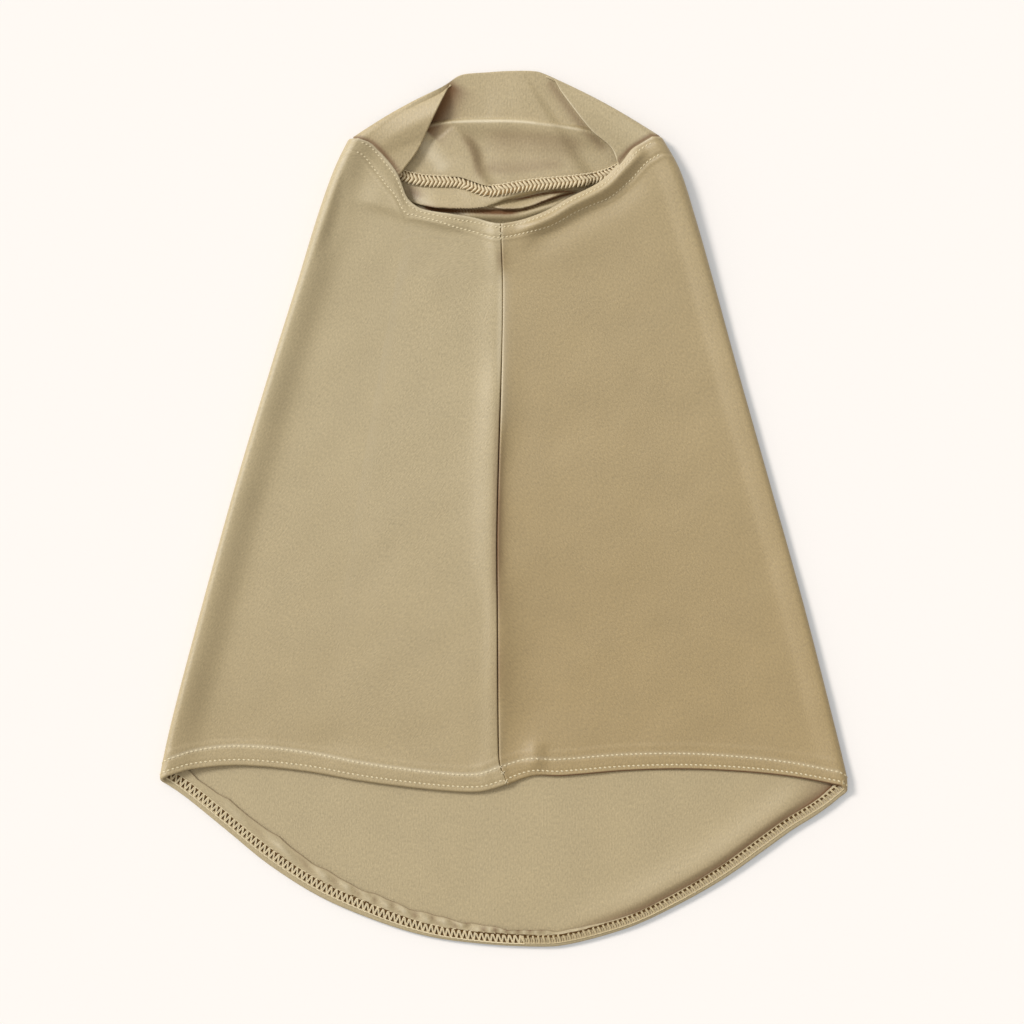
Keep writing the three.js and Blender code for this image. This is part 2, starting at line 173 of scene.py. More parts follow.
# Distances of the two needle rows and of the cut edge from the hem's edge. a runs round the cape: 0 and 6 are
# the front seam, 1 to 2 the left fold, 2 to 4 the back, and 4 to 5 the right fold.
HEM_ROWS = {
    "a": (0, 0.5, 0.85, 1, 2, 2.1, 2.2, 2.31, 2.42, 2.55, 2.7, 2.85, 3.0, 3.17, 3.35, 3.5, 3.65, 3.8, 3.95,
          4.2, 5, 5.3, 5.6, 6),
    "outer": (2.9, 3.2, 3.3, 3.2, 3.4, 3.3, 3.2, 3.2, 3.1, 2.9, 2.4, 1.8, 1.7, 2.0, 1.9, 1.9, 2.2, 2.5, 2.3,
              2.4, 2.5, 2.6, 2.7, 2.9),
    "inner": (9.7, 10.3, 11.0, 9.8, 8.0, 7.9, 8.0, 8.4, 8.5, 8.5, 7.7, 7.0, 6.8, 6.7, 6.4, 6.4, 6.9, 7.1, 6.8,
              7.0, 7.8, 8.6, 9.3, 9.6),
    "cut": (15, 15, 15, 15, 14, 12.9, 14.2, 16.0, 15.4, 14.4, 13.4, 12, 9.8, 8.9, 7.0, 6.9, 7.4, 7.7, 7.5,
            14, 15, 15, 15, 15),
}
NECK_ROWS = {              # and the needle rows' distances from the neckline's edge, across the garment
    "x": (-83, -66, -59, -50, -36, -24, -6, 0, 14, 25, 40, 62, 86),
    "outer": (1.5, 1.6, 1.6, 1.7, 2.0, 2.9, 2.3, 2.3, 2.0, 2.0, 2.2, 2.2, 2.4),
    "inner": (6.6, 6.8, 5.6, 4.5, 5.0, 7.2, 8.3, 8.1, 7.8, 8.4, 8.6, 8.6, 8.4),
}

SIDES = {                  # how far the side folds lie from the middle, and how tall they stand
    "y": (-260, -158, -152, -121, -52, 16, 85, 131, 167, 194, 211, 216),
    "left": (196.6, 196.6, 196.6, 189.9, 171.7, 152.8, 132.0, 117.6, 106.6, 97.0, 88.8, 85.6),
    "right": (197.0, 197.0, 196.4, 188.9, 171.2, 152.2, 132.7, 120.1, 109.8, 101.0, 91.6, 88.2),
    "fold": (8.0, 8.0, 8.0, 7.2, 6.6, 6.6, 6.8, 8.0, 9.8, 10.8, 11.2, 11.2),
}
SEAM = {                   # the line of the centre front seam
    "y": (-165, -156, -147, -136, -60, -10, 91, 125, 150, 158, 200),
    "x": (2.4, 1.4, -2.0, -2.9, -3.5, -3.7, -0.9, -0.4, -1.2, -1.5, -1.7),
}
# How far the seam stands open, and how much painted shade darkens the cloth on its left and right
# (painted highlight paling it below 0)
SEAM_FACE = {
    "y": (-165, -156, -147, -133, -110, -98, -87, -75, -64, -52, -41, -30, 5, 16, 28, 39, 51, 62, 74, 97, 131,
          142, 154, 200),
    "open": (0.1, 0.15, 0.6, 1, 1, 1, 1, 1, 1, 1, 1, 1, 1, 1, 1, 1.1, 1.2, 1.1, 0.85, 0.55, 0.5, 0.6, 0.6,
             0.05),
    "left": (0, 0, 0, 0, 0.1, 0.1, 0.08, 0, 0, 0.12, 0.34, 0.34, 0.38, 0.4, 0.3, 0.28, 0.2, 0.07, -0.1, -0.25,
             -0.15, 0.3, -0.1, 0),
    "right": (0, 0, -0.05, -0.1, 0, 0.3, 0.35, 0.15, 0.1, 0.4, 0.5, 0.7, 0.7, 0.45, 0.4, 0.1, -0.25, -0.4,
              -0.4, -0.35, -0.3, 0.15, -0.2, 0),
}
FRONT_NECK = (
    (-83.0, 211.6), (-75.1, 208.4), (-66.2, 199.3), (-60.6, 191.8), (-58.4, 186.3), (-55.3, 178.3),
    (-49.6, 172.9), (-43.9, 170.7), (-31.5, 168.8), (-17.0, 166.6), (-7.0, 163.8), (-1.0, 163.2),
    (11.0, 165.5), (24.4, 170.5), (37.0, 177.7), (55.3, 187.2), (66.2, 198.1), (74.3, 206.4), (86.0, 213.4),
)
BACK_NECK = (
    (-83.0, 211.6), (-74.0, 205.6), (-58.2, 194.6), (-47.0, 191.2), (-36.4, 190.4), (-25.7, 190.2),
    (-18.4, 187.9), (-11.8, 185.5), (-6.9, 184.7), (0.5, 185.5), (12.7, 187.6), (29.1, 189.2), (45.5, 191.0),
    (60.3, 195.1), (72.0, 203.6), (86.0, 213.4),
)
FRONT_HEM = (
    (-193.0, -153.4), (-178.6, -149.3), (-150.5, -147.2), (-113.8, -150.5), (-84.0, -155.7), (-59.3, -159.1),
    (-34.1, -161.7), (-13.5, -162.3), (0.9, -158.5), (16.9, -153.2), (32.4, -153.4), (69.7, -150.4),
    (105.8, -149.5), (139.6, -151.1), (167.1, -154.0), (193.0, -158.8),
)
BACK_HEM = (
    (-193.0, -158.0), (-186.0, -162.6), (-179.2, -167.7), (-157.4, -185.5), (-135.0, -203.8),
    (-105.8, -222.2), (-73.7, -236.0), (-43.9, -245.1), (-13.5, -249.4), (15.2, -251.1), (34.7, -250.3),
    (68.5, -241.4), (90.3, -232.1), (123.6, -213.9), (148.7, -196.4), (165.0, -184.6), (177.4, -176.9),
    (185.5, -171.4), (193.0, -165.2),
)

# Soft ridges and valleys pressed and pulled into the cloth. Each row says how high it rises, how far it falls
# away on the left and the right of its line, the share of its length in which each end fades, and its line.
FRONT_RIDGES = (
    (2.3, 12.0, 3.5, 0.25, ((-92, 178), (-75, 175), (-60, 170.4), (-45, 165.8), (-30.7, 162.6),
     (-16.3, 160.2))),
    (3.6, 3.7, 3.7, 0.2, ((84, 206), (77.4, 202.5), (69.7, 194.6), (58.3, 183.2), (39.4, 173.3),
     (26.9, 165.9), (15.2, 161.4), (6, 159.5))),
    (-1.4, 8.0, 5.0, 0.25, ((85.2, 200), (68, 181), (46.7, 168), (23.8, 155), (9.5, 142))),
    (-3.2, 5.5, 4.0, 0.3, ((-96, 196), (-95.5, 185), (-97, 170), (-101.5, 155), (-107, 140))),
    (-0.7, 8.0, 6.0, 0.3, ((-116.7, -131.6), (-88, -133.9), (-50.7, -139.6))),
    (2.0, 1.6, 7.0, 0.35, ((22, -131), (20.2, -141), (18.5, -153.5))),
    (0.5, 3.0, 5.0, 0.3, ((-13, -140), (-10, -152), (-7, -162))),
)
BACK_RIDGES = (
    (5.0, 7.0, 1.2, 0.1, ((-58, 176.5), (-36.4, 175.3), (-22, 174.7), (-13.5, 175.2), (-4.9, 176.8),
     (2, 178.9), (15.8, 182.2), (27.2, 184.4), (42, 185.8), (54, 187))),
    (4.0, 1.9, 1.2, 0.2, ((-14, 174.3), (-3.7, 174.2), (4.7, 174.2), (10.4, 174.7), (17.1, 176.4),
     (23.8, 178.9), (31.4, 181.2), (46, 184))),
    (2.9, 0.9, 5.0, 0.2, ((-30, 170.4), (-19, 170.2), (-3.7, 170), (9.5, 170.3), (20.9, 173.4), (30.1, 176),
     (38, 179))),
    (-0.9, 3.5, 3.0, 0.3, ((-20, 182), (-9, 178.4), (4, 180))),
)
BACK_GAPS = (              # where shade is painted into the slits between those rolls
    (1.0, 1.1, 1.1, 0.15, ((-48, 173.4), (-39.3, 171.4), (-30.7, 170.7), (-21.1, 170.4), (-10, 170.3))),
    (1.0, 1.5, 1.6, 0.3, ((-24, 170.3), (-12.5, 170.2), (-3, 170.0), (4.7, 170.0), (12, 171.0))),
    (1.0, 0.55, 0.65, 0.12, ((4.7, 170.3), (10.4, 171.0), (17.1, 173.2), (23.8, 176.0), (31.4, 178.6),
     (37.2, 180.2), (44, 182))),
    (1.0, 0.55, 0.65, 0.3, ((-2, 176.4), (8.5, 177.4), (14.2, 178.6), (20, 180), (28.6, 181), (38.1, 181.8),
     (48, 182.8))),
    (0.35, 3.0, 3.0, 0.4, ((-58, 185), (-51, 181), (-46, 177))),
)
FOLD_LEAN = 0.62           # how far the rolls below the back neck lean over, toward the hem

# How high the cloth stands beside the folds at the sides, by the distance in from the edge
LEFT_ROLL = {
    "in": (0, 3.4, 5.8, 8, 10.5, 13, 15, 17, 19, 21, 24, 29),
    "height": (4.1, 4.1, 3.95, 3.5, 2.8, 2.0, 1.4, 0.9, 0.5, 0.26, 0.08, 0),
}
RIGHT_ROLL = {
    "in": (0, 3.4, 5.8, 8.1, 10.4, 11.6, 12.7, 14, 15, 17, 21),
    "height": (1.86, 1.84, 1.68, 1.4, 1.0, 0.75, 0.5, 0.28, 0.16, 0.05, 0),
}
ROLL_AT_HEM = 0.35         # share of that height left at the hem
PANEL_DROP = 2.0           # how far the panels lie below the height of the folds
RIGHT_DROP = 1.2           # and how much lower the right side lies than the left
PANEL_CROWN = 0.5          # how far their middle stands above a straight line between the sides
HEM_SAG = 2.5              # how far the front sinks onto the back at the hem
HEM_SAG_REACH = 75         # and how far up the garment that starts
NEEDLE_GROOVE = 0.25       # how deep a row of stitches pulls the cloth in
BACK_LIFT = 0.34           # the back's height off the floor
HEM_CURL = 0.7             # how far its edge curls up on the right
HEM_SWELL = 2.0            # and the swell that runs along inside that edge
SWELL_INSIDE = 11.8        # at this distance from the edge

# The ridge along the centre front: its height and reach on the left and on the right, down the garment
SEAM_RIDGE = {
    "y": (-160, -133, -110, -81, -52, -30, -7, 22, 45, 74, 97, 119, 131, 153, 165),
    "left": (0.6, 0.7, 0.7, 0.6, 0.9, 1.9, 2.2, 2.3, 2.6, 2.2, 1.4, 0.7, 0.6, 1.7, 1.7),
    "left reach": (5, 5, 5, 4, 4, 9, 9.5, 10, 9.5, 8, 10, 9, 5, 4.5, 4.5),
    "right": (1.2, 1.5, 3.4, 4.2, 2.8, 2.1, 2.0, 2.3, 3.2, 1.8, 0.9, 0.7, 0.7, 0.9, 0.9),
    "right reach": (5, 5.5, 13, 14, 12, 5, 4.8, 4.5, 7, 7, 6, 4, 4, 4, 4),
}


def smooth(keys, values, at):
    """The values of a table at the keys asked for, on a smooth curve through its rows."""
    keys, values = np.asarray(keys, float), np.asarray(values, float)
    last = len(keys) - 1
    low, high = np.maximum(np.arange(last + 1) - 1, 0), np.minimum(np.arange(last + 1) + 1, last)
    slopes = (values[high] - values[low]) / (keys[high] - keys[low])
    at = np.clip(at, keys[0], keys[-1])
    i = np.clip(np.searchsorted(keys, at, side="right") - 1, 0, last - 1)
    span = keys[i + 1] - keys[i]
    t = (at - keys[i]) / span
    return (values[i] + (t ** 3 - 2 * t ** 2 + t) * slopes[i] * span
            + (3 * t ** 2 - 2 * t ** 3) * (values[i + 1] - values[i])
            + (t ** 3 - t ** 2) * slopes[i + 1] * span)


def ramp(low, high, value):
    """0 at low, 1 at high, a smooth change between them, and level beyond."""
    t = np.clip((value - low) / (high - low), 0, 1)
    return t * t * (3 - 2 * t)


def bump(distance, width):
    """1 at no distance, falling away smoothly over the width."""
    return np.exp(-(distance / width) ** 2)


def relief(ridges, x, y):
    """Height that the ridges and valleys give at x, y: the highest ridge and the deepest valley there."""
    top, bottom = np.zeros(np.shape(x)), np.zeros(np.shape(x))
    for rise, left, right, ends, points in ridges:
        corners = np.array(points, float)
        steps = np.linspace(0, len(corners) - 1, 6 * (len(corners) - 1) + 1)
        line = np.stack([smooth(range(len(corners)), corners[:, k], steps) for k in (0, 1)], 1)
        nearest = np.full(np.shape(x), np.inf)
        width, along = np.ones(np.shape(x)), np.zeros(np.shape(x))
        for k in range(len(line) - 1):
            run = line[k + 1] - line[k]
            t = np.clip(((x - line[k, 0]) * run[0] + (y - line[k, 1]) * run[1]) / (run @ run), 0, 1)
            dx, dy = x - line[k, 0] - t * run[0], y - line[k, 1] - t * run[1]
            away = np.hypot(dx, dy)
            hand = (run[0] * dy - run[1] * dx) / (away * math.hypot(*run) + 1e-9)
            closer = away < nearest
            nearest = np.where(closer, away, nearest)
            width = np.where(closer, right + (left - right) * (hand + 1) / 2, width)
            along = np.where(closer, (k + t) / (len(line) - 1), along)
        fade = ramp(0, ends, along) * ramp(0, ends, 1 - along)
        height = rise * bump(nearest, width) * fade
        top, bottom = np.maximum(top, height), np.minimum(bottom, height)
    return top + bottom


def ripple(x, y, seed, length, height):
    """Shallow unevenness of cloth that has been handled: a few crossed waves."""
    chance = np.random.default_rng(seed)
    total = np.zeros(np.shape(x))
    for _ in range(7):
        turn = chance.uniform(0, math.pi)
        phase = chance.uniform(0, 2 * math.pi)
        wave = chance.uniform(0.7, 1.6) * length
        total = total + np.sin((x * math.cos(turn) + y * math.sin(turn)) * 2 * math.pi / wave + phase)
    return total * height / 2.6


def side(column, y):
    return smooth(SIDES["y"], SIDES[column], y)


def flat_x(s, y):
    """Across the flat part of the cape, from s = -1 at the left fold to 1 at the right one."""
    left, right = side("fold", y) / 2 - side("left", y), side("right", y) - side("fold", y) / 2
    return (left + right) / 2 + s * (right - left) / 2


def seam_x(y):
    return smooth(SEAM["y"], SEAM["x"], y)


def seam_face(column, y):
    return smooth(SEAM_FACE["y"], SEAM_FACE[column], y)


def front_x(s, hand, y):
    """The same on the front, where the middle follows the seam and the cloth starts one turn away from it."""
    near = 1 - np.abs(s)
    gap = SEAM_TURN + SEAM_GAP * seam_face("open", y)
    return flat_x(s, y) + (seam_x(y) - flat_x(0, y)) * near ** 3 + hand * gap * near ** 8


def unwrap(a):
    """Gives the place across, how far the fold has turned (1 front, -1 back) and the hand. a runs round the
    cape: 0 seam, 1 left fold's top, 2 its bottom, 4 right fold's bottom, 5 its top, 6 seam."""
    parts = [a <= 1, a <= 2, a <= 4, a <= 5]
    s = np.select(parts, [-a, -1.0 + 0 * a, a - 3, 1.0 + 0 * a], 6 - a)
    turn = np.select(parts, [1.0 + 0 * a, 3 - 2 * a, -1.0 + 0 * a, 2 * a - 9], 1.0 + 0 * a)
    return s, turn, np.where(a < 3, -1.0, 1.0)


def edge_table(points, front):
    """Height of an edge, and how much it leans, at even places from s = -1 to 1."""
    x, y = np.array(points).T
    s = np.linspace(-1, 1, 401)
    height = np.interp(s, (-1, 1), (y[0], y[-1]))
    for _ in range(30):
        reach = front_x(s, np.sign(s), height) if front else flat_x(s, height)
        height = 0.5 * height + 0.5 * smooth(x, y, reach)
    reach = flat_x(s, height)
    slope = np.abs(np.gradient(height) / np.gradient(reach))
    slope = np.convolve(np.pad(slope, 12, mode="edge"), np.ones(25) / 25, mode="valid")
    return s, height, np.minimum(slope, 1.3)


EDGES = {
    "front top": edge_table(FRONT_NECK, True), "front bottom": edge_table(FRONT_HEM, True),
    "back top": edge_table(BACK_NECK, False), "back bottom": edge_table(BACK_HEM, False),
}


def edge(which, a):
    """Height of the top or bottom edge at a, and how far one millimetre square to it is along y."""
    s, turn, _ = unwrap(a)
    share = (turn + 1) / 2
    back, front = EDGES[f"back {which}"], EDGES[f"front {which}"]
    height, slope = [
        (1 - share) * np.interp(s, back[0], back[k]) + share * np.interp(s, front[0], front[k])
        for k in (1, 2)]
    return height, np.hypot(1, slope)


def edge_distances(a, y):
    top, top_lean = edge("top", a)
    bottom, bottom_lean = edge("bottom", a)
    return (top - y) / top_lean, (y - bottom) / bottom_lean


def neck_rows(x):
    return [smooth(NECK_ROWS["x"], NECK_ROWS[row], x) for row in ("outer", "inner")]


def hem_rows(a):
    return [smooth(HEM_ROWS["a"], HEM_ROWS[row], a) for row in ("outer", "inner")]


def cut_edge(a):
    return smooth(HEM_ROWS["a"], HEM_ROWS["cut"], a)


def panel_height(s, y, from_bottom):
    """The plain lie of the front: below the side folds, and sunk onto the back toward the hem."""
    sag = HEM_SAG * (1 - ramp(0, HEM_SAG_REACH, from_bottom)) * (1 - np.abs(s) ** 7)
    return side("fold", y) - PANEL_DROP - RIGHT_DROP * (1 + s) / 2 + PANEL_CROWN * (1 - s ** 2) - sag


def side_rolls(x, y):
    left = smooth(LEFT_ROLL["in"], LEFT_ROLL["height"], x + side("left", y))
    right = smooth(RIGHT_ROLL["in"], RIGHT_ROLL["height"], side("right", y) - x)
    return (left + right) * (ROLL_AT_HEM + (1 - ROLL_AT_HEM) * ramp(-150, -105, y))


def seam_ridge(x, y, s, hand):
    """The cloth raised beside the centre front seam. On the right it starts at the left side's height."""
    ridge = {name: smooth(SEAM_RIDGE["y"], SEAM_RIDGE[name], y) for name in SEAM_RIDGE if name != "y"}
    away = np.abs(x - seam_x(y))
    left = ridge["left"] * (bump(np.maximum(away - 3.0, 0), ridge["left reach"]) - 0.12 * bump(away, 2.2))
    near, far = bump(away, 0.5 * ridge["right reach"]), bump(away, 1.15 * ridge["right reach"])
    step = (ridge["right"] - ridge["left"]) * (1 - np.abs(s)) ** 1.5
    right = ridge["right"] * (0.45 * near + 0.55 * far) - step
    return np.where(hand < 0, left, right)


def hemmed(x, a, from_bottom):
    """Two layers at the bottom hem, with the needle rows' grooves and shallow puckers."""
    grooves = NEEDLE_GROOVE * sum(bump(from_bottom - row, 0.8) for row in hem_rows(a))
    wave = np.sin(x / 1.9 + 2.2 * np.sin(x / 11) + from_bottom / 2.4)
    return 0.3 * (1 - ramp(13.5, 16, from_bottom)) - grooves + 0.12 * wave * bump(from_bottom - 6.5, 5.5)


def necklined(x, s, from_top):
    """The same at the neckline, whose edge also rolls over inwards."""
    outer_row, inner_row = neck_rows(x)
    grooves = NEEDLE_GROOVE * bump(from_top - outer_row, 0.8) + 0.35 * bump(from_top - inner_row, 0.9)
    rolled = (1.2 - 0.5 * s) * bump(from_top, 3.6 - 0.8 * s)
    return 0.3 * (1 - ramp(1.2, 3.2, from_top - inner_row)) - grooves - rolled


def front_height(x, y, a):
    """Top of the front layer."""
    s, _, hand = unwrap(a)
    s = np.clip(s, -1, 1)
    from_top, from_bottom = edge_distances(a, y)
    return (panel_height(s, y, from_bottom) + side_rolls(x, y) + seam_ridge(x, y, s, hand)
            + relief(FRONT_RIDGES, x, y) * (1 - np.abs(s) ** 8)
            + hemmed(x, a, from_bottom) + necklined(x, s, from_top)
            + ripple(x, y, 3, 46, 0.12) + ripple(x, y, 5, 17, 0.03))


def back_height(x, y, a):
    """Underside of the back layer."""
    from_bottom = edge_distances(a, y)[1]
    curl = HEM_CURL * ramp(40, 185, x) * (1 - ramp(0, 10, from_bottom)) * ramp(130, 160, -y)
    beside = from_bottom - SWELL_INSIDE
    swell = HEM_SWELL * ramp(20, 100, x) * ramp(186, 160, x) * ramp(140, 168, -y)
    swell = swell * bump(beside, np.where(beside < 0, 3.5, 10.0))
    groove = 0.3 * sum(bump(from_bottom - row, 0.8) for row in hem_rows(a))
    return (BACK_LIFT + groove + curl + swell + relief(BACK_RIDGES, x, y).clip(-0.2)
            + ripple(x, y, 8, 52, 0.09) + ripple(x, y, 9, 19, 0.02))


def on_cape(a, y, depth=0.0):
    """Points of the cape, in millimetres, a depth inside its outer face."""
    a, y, depth = np.broadcast_arrays(np.asarray(a, float), np.asarray(y, float), np.asarray(depth, float))
    s, turn, hand = unwrap(a)
    radius = side("fold", y) / 2
    x = np.where(turn == 1, front_x(s, hand, y), flat_x(s, y))
    high, low = front_height(x, y, a), back_height(x, y, a)
    angle = turn * math.pi / 2
    bulge = np.where(np.abs(turn) < 1, hand * (radius - depth) * np.cos(angle), 0)
    z = (high + low) / 2 + ((high - low) / 2 - depth) * np.sin(angle)
    below_seam = ramp(5.5, 9.5, edge_distances(a, y)[0]) * ramp(150, 160, y)
    lean = np.where(turn == -1, FOLD_LEAN * np.maximum(relief(BACK_RIDGES, x, y), 0) * below_seam, 0)
    return np.stack([x + bulge, y - lean, z], -1)


def lay_grid(name, outer, inner, smooth_angle=60):
    """A cloth from two grids of points in millimetres: a flat grid is added, laid along the outer face, given
    its thickness by Solidify, and its inner face is laid too. UVs are distances over the cloth, in metres."""
    rows, columns = outer.shape[:2]
    deselect()
    bpy.ops.mesh.primitive_grid_add(x_subdivisions=columns - 1, y_subdivisions=rows - 1, size=1)
    piece = bpy.context.object
    piece.name = piece.data.name = name
    piece.data.vertices.foreach_set("co", (outer * MM).ravel())
    thick = piece.modifiers.new("thickness", "SOLIDIFY")
    thick.thickness, thick.offset = CLOTH * MM, -1
    bpy.ops.object.modifier_apply(modifier=thick.name)
    both = np.concatenate([outer.reshape(-1, 3), inner.reshape(-1, 3)]) * MM
    piece.data.vertices.foreach_set("co", both.ravel())
    across = np.cumsum(np.linalg.norm(np.diff(outer, axis=1, prepend=outer[:, :1]), axis=2), 1)
    across -= across[:, columns // 2][:, None]
    down = np.cumsum(np.linalg.norm(np.diff(outer, axis=0, prepend=outer[:1]), axis=2), 0)
    spots = np.tile(np.stack([across, down], -1).reshape(-1, 2) * MM, (2, 1))
    piece.data.uv_layers[0].data.foreach_set("uv", spots[corner_points(piece)].ravel())
    turned_in = signed_volume(piece) < 0
    if turned_in:
        piece.data.flip_normals()
    piece.data.update()
    bpy.ops.object.shade_smooth_by_angle(angle=math.radians(smooth_angle))
    return piece


def corner_points(piece):
    """The point that each corner of each face stands on."""
    corners = np.zeros(len(piece.data.loops), int)
    piece.data.loops.foreach_get("vertex_index", corners)
    return corners


def signed_volume(piece):
    piece.data.calc_loop_triangles()
    points = np.array([v.co for v in piece.data.vertices])
    corners = np.array([t.vertices for t in piece.data.loop_triangles])
    a, b, c = points[corners].transpose(1, 0, 2)
    return float(np.einsum("ij,ij->", a, np.cross(b, c)))


def both_faces(outside, inside=None):
    outside = np.asarray(outside, np.float32)
    inside = outside if inside is None else np.asarray(inside, np.float32)
    return np.concatenate([outside.ravel(), inside.ravel()])


def mark(piece, name, outside, inside=None):
    """A number at each point of a laid grid's two faces, for its material to read."""
    layer = piece.data.attributes.new(name, "FLOAT", "POINT")
    layer.data.foreach_set("value", both_faces(outside, inside))


def turned_edge(radius, steps):
    """The rows of a turned edge, from its tip inwards: offset and depth of the outer and the inner face."""
    angle = np.linspace(math.pi / 2, 0, steps)
    small = radius - CLOTH
    return (radius - radius * np.sin(angle), radius - radius * np.cos(angle),
            radius - small * np.sin(angle), radius - small * np.cos(angle))


# Columns of the cape, as places round it: close together beside the seam, the folds and the band's ends
FRONT_PLACES = np.concatenate([
    (0, 0.003, 0.007, 0.012, 0.018, 0.025, 0.033, 0.042, 0.052, 0.064, 0.078, 0.094),
    np.linspace(0.112, 0.88, 40), np.linspace(0.892, 1, 13)])
FOLD_PLACES = np.linspace(0, 1, 11)[1:-1]
BACK_PLACES = np.concatenate([
    np.linspace(2, 2.36, 13)[:-1], np.linspace(2.36, 3.64, 76), np.linspace(3.64, 4, 13)[1:]])
AROUND = np.concatenate([
    FRONT_PLACES, 1 + FOLD_PLACES, BACK_PLACES, 4 + FOLD_PLACES, 6 - FRONT_PLACES[::-1]])

# Its rows, as distances from its top edge, shares of the rest, and distances from its bottom edge
turn_out, turn_out_depth, turn_in, turn_in_depth = turned_edge(HEM_TURN, 5)
TOP_STEPS = np.concatenate([np.arange(1.6, 5, 0.7), np.arange(5, 22, 0.42), np.arange(22, 36, 0.9)])
BOTTOM_STEPS = np.arange(20.0, 1.2, -0.75)
MIDDLE_SHARES = np.linspace(0, 1, 72)[1:-1] ** 0.93


def cape_rows(offsets, depths):
    """Heights and depths of one face of the cape. Both its ends are turned, by these offsets and depths."""
    top, top_lean = edge("top", AROUND)
    bottom, bottom_lean = edge("bottom", AROUND)
    upper = top - np.concatenate([offsets, TOP_STEPS])[:, None] * top_lean
    lower = bottom + np.concatenate([BOTTOM_STEPS, offsets[::-1]])[:, None] * bottom_lean
    middle = upper[-1] + (lower[0] - upper[-1]) * MIDDLE_SHARES[:, None]
    plain_rows = len(TOP_STEPS) + len(MIDDLE_SHARES) + len(BOTTOM_STEPS)
    inside = np.concatenate([depths, np.full(plain_rows, depths[-1]), depths[::-1]])
    return np.concatenate([upper, middle, lower]), inside[:, None]


def turned_ends(points, inner):
    """Adds the strips at both ends that turn down into the centre front seam."""
    out, out_depth, in_, in_depth = turned_edge(SEAM_TURN, 4)
    offsets, depths = (in_, in_depth) if inner else (out, out_depth)
    offsets = np.concatenate([offsets[:1], offsets[:-1]])
    depths = np.concatenate([[SEAM_SINK], depths[:-1]])
    base = CLOTH if inner else 0
    ends = []
    for column, hand in ((0, -1), (-1, 1)):
        strip = np.repeat(points[:, column:column + 1 or None], len(offsets), axis=1)
        sunk = 0.35 + 0.65 * seam_face("open", strip[..., 1])
        strip[..., 0] += hand * (offsets - SEAM_TURN)
        strip[..., 2] -= (depths - base) * sunk
        ends.append(strip)
    return np.concatenate([ends[0], points, ends[1][:, ::-1]], axis=1)


outer = turned_ends(on_cape(AROUND, *cape_rows(turn_out, turn_out_depth)), False)
inner = turned_ends(on_cape(AROUND, *cape_rows(turn_in, turn_in_depth)), True)
cape = lay_grid("cape_cloth", outer, inner)

# Painted sheen and shade: the right half of the front is cut with its grain the other way round and is
# painted darker, as it catches less of the lamp's sheen; both halves are painted darker toward the hem, the
# back a little darker toward the right.
added = (outer.shape[1] - len(AROUND)) // 2
around_all = np.concatenate([np.full(added, AROUND[0]), AROUND, np.full(added, AROUND[-1])])
_, turn_all, hand_all = unwrap(around_all)
down = ramp(230, -190, outer[..., 1])
front_painted_sheen = np.where(hand_all > 0, 0.55 + 0.5 * down, 0.5 * down ** 2)
back_painted_sheen = 0.12 + 0.2 * ramp(-200, 200, outer[..., 0])
facing_front = np.clip((turn_all + 1) / 2, 0, 1)
mark(cape, "painted_nap_sheen", front_painted_sheen * facing_front + back_painted_sheen * (1 - facing_front))

# Painted shade darkens the cloth where shade falls: in the slits between the rolls, in and beside the seam,
# beside the hem's swell, in the back's right corner and under the right front's lip. Painted highlight pales
# it along the neckline's edge and the hem's inner needle row, and in places beside the seam.
on_front, on_back = turn_all > 0.9, turn_all == -1
slits = np.where(on_back, np.minimum(1.6 * relief(BACK_GAPS, inner[..., 0], inner[..., 1]), 1), 0)
in_seam = np.concatenate([(0.9, 0.8, 0.35, 0), np.zeros(len(AROUND)), (0, 0.5, 0.9, 0.9)])
in_seam = in_seam * seam_face("open", outer[..., 1])
from_seam = np.abs(outer[..., 0] - seam_x(outer[..., 1]))
beside_seam = np.where(
    hand_all < 0, seam_face("left", outer[..., 1]) * np.exp(-(from_seam / 3.0) ** 4),
    1.3 * seam_face("right", outer[..., 1]) * np.exp(-from_seam / 2.2))
in_seam = in_seam + beside_seam * on_front
beside_hem = edge_distances(around_all, inner[..., 1])[1] - cut_edge(around_all)
under_swell = 0.85 * np.exp(-np.maximum(beside_hem, 0) / 2.8) * on_back * ramp(35, 80, inner[..., 0])
in_corner = 0.2 * ramp(163, 180, inner[..., 0]) * on_back * ramp(140, 160, -inner[..., 1])
top_distance, bottom_distance = edge_distances(around_all, outer[..., 1])
paler = 0.4 * bump(top_distance, 1.0) + 0.42 * bump(bottom_distance - hem_rows(around_all)[1] - 0.4, 0.9)
paler = paler * on_front * np.where(hand_all < 0, 1.0, 0.5)
under_lip = np.zeros(outer.shape[:2])
under_lip[-5:] = np.array([0.1, 0.7, 0.95, 0.95, 0.95])[:, None] * (hand_all > 0) * on_front
under_lip *= ramp(12, 30, outer[..., 0])
mark(cape, "painted_shade_and_highlight", in_seam - paler + under_lip, np.maximum(slits, in_seam) + under_swell + in_corner)


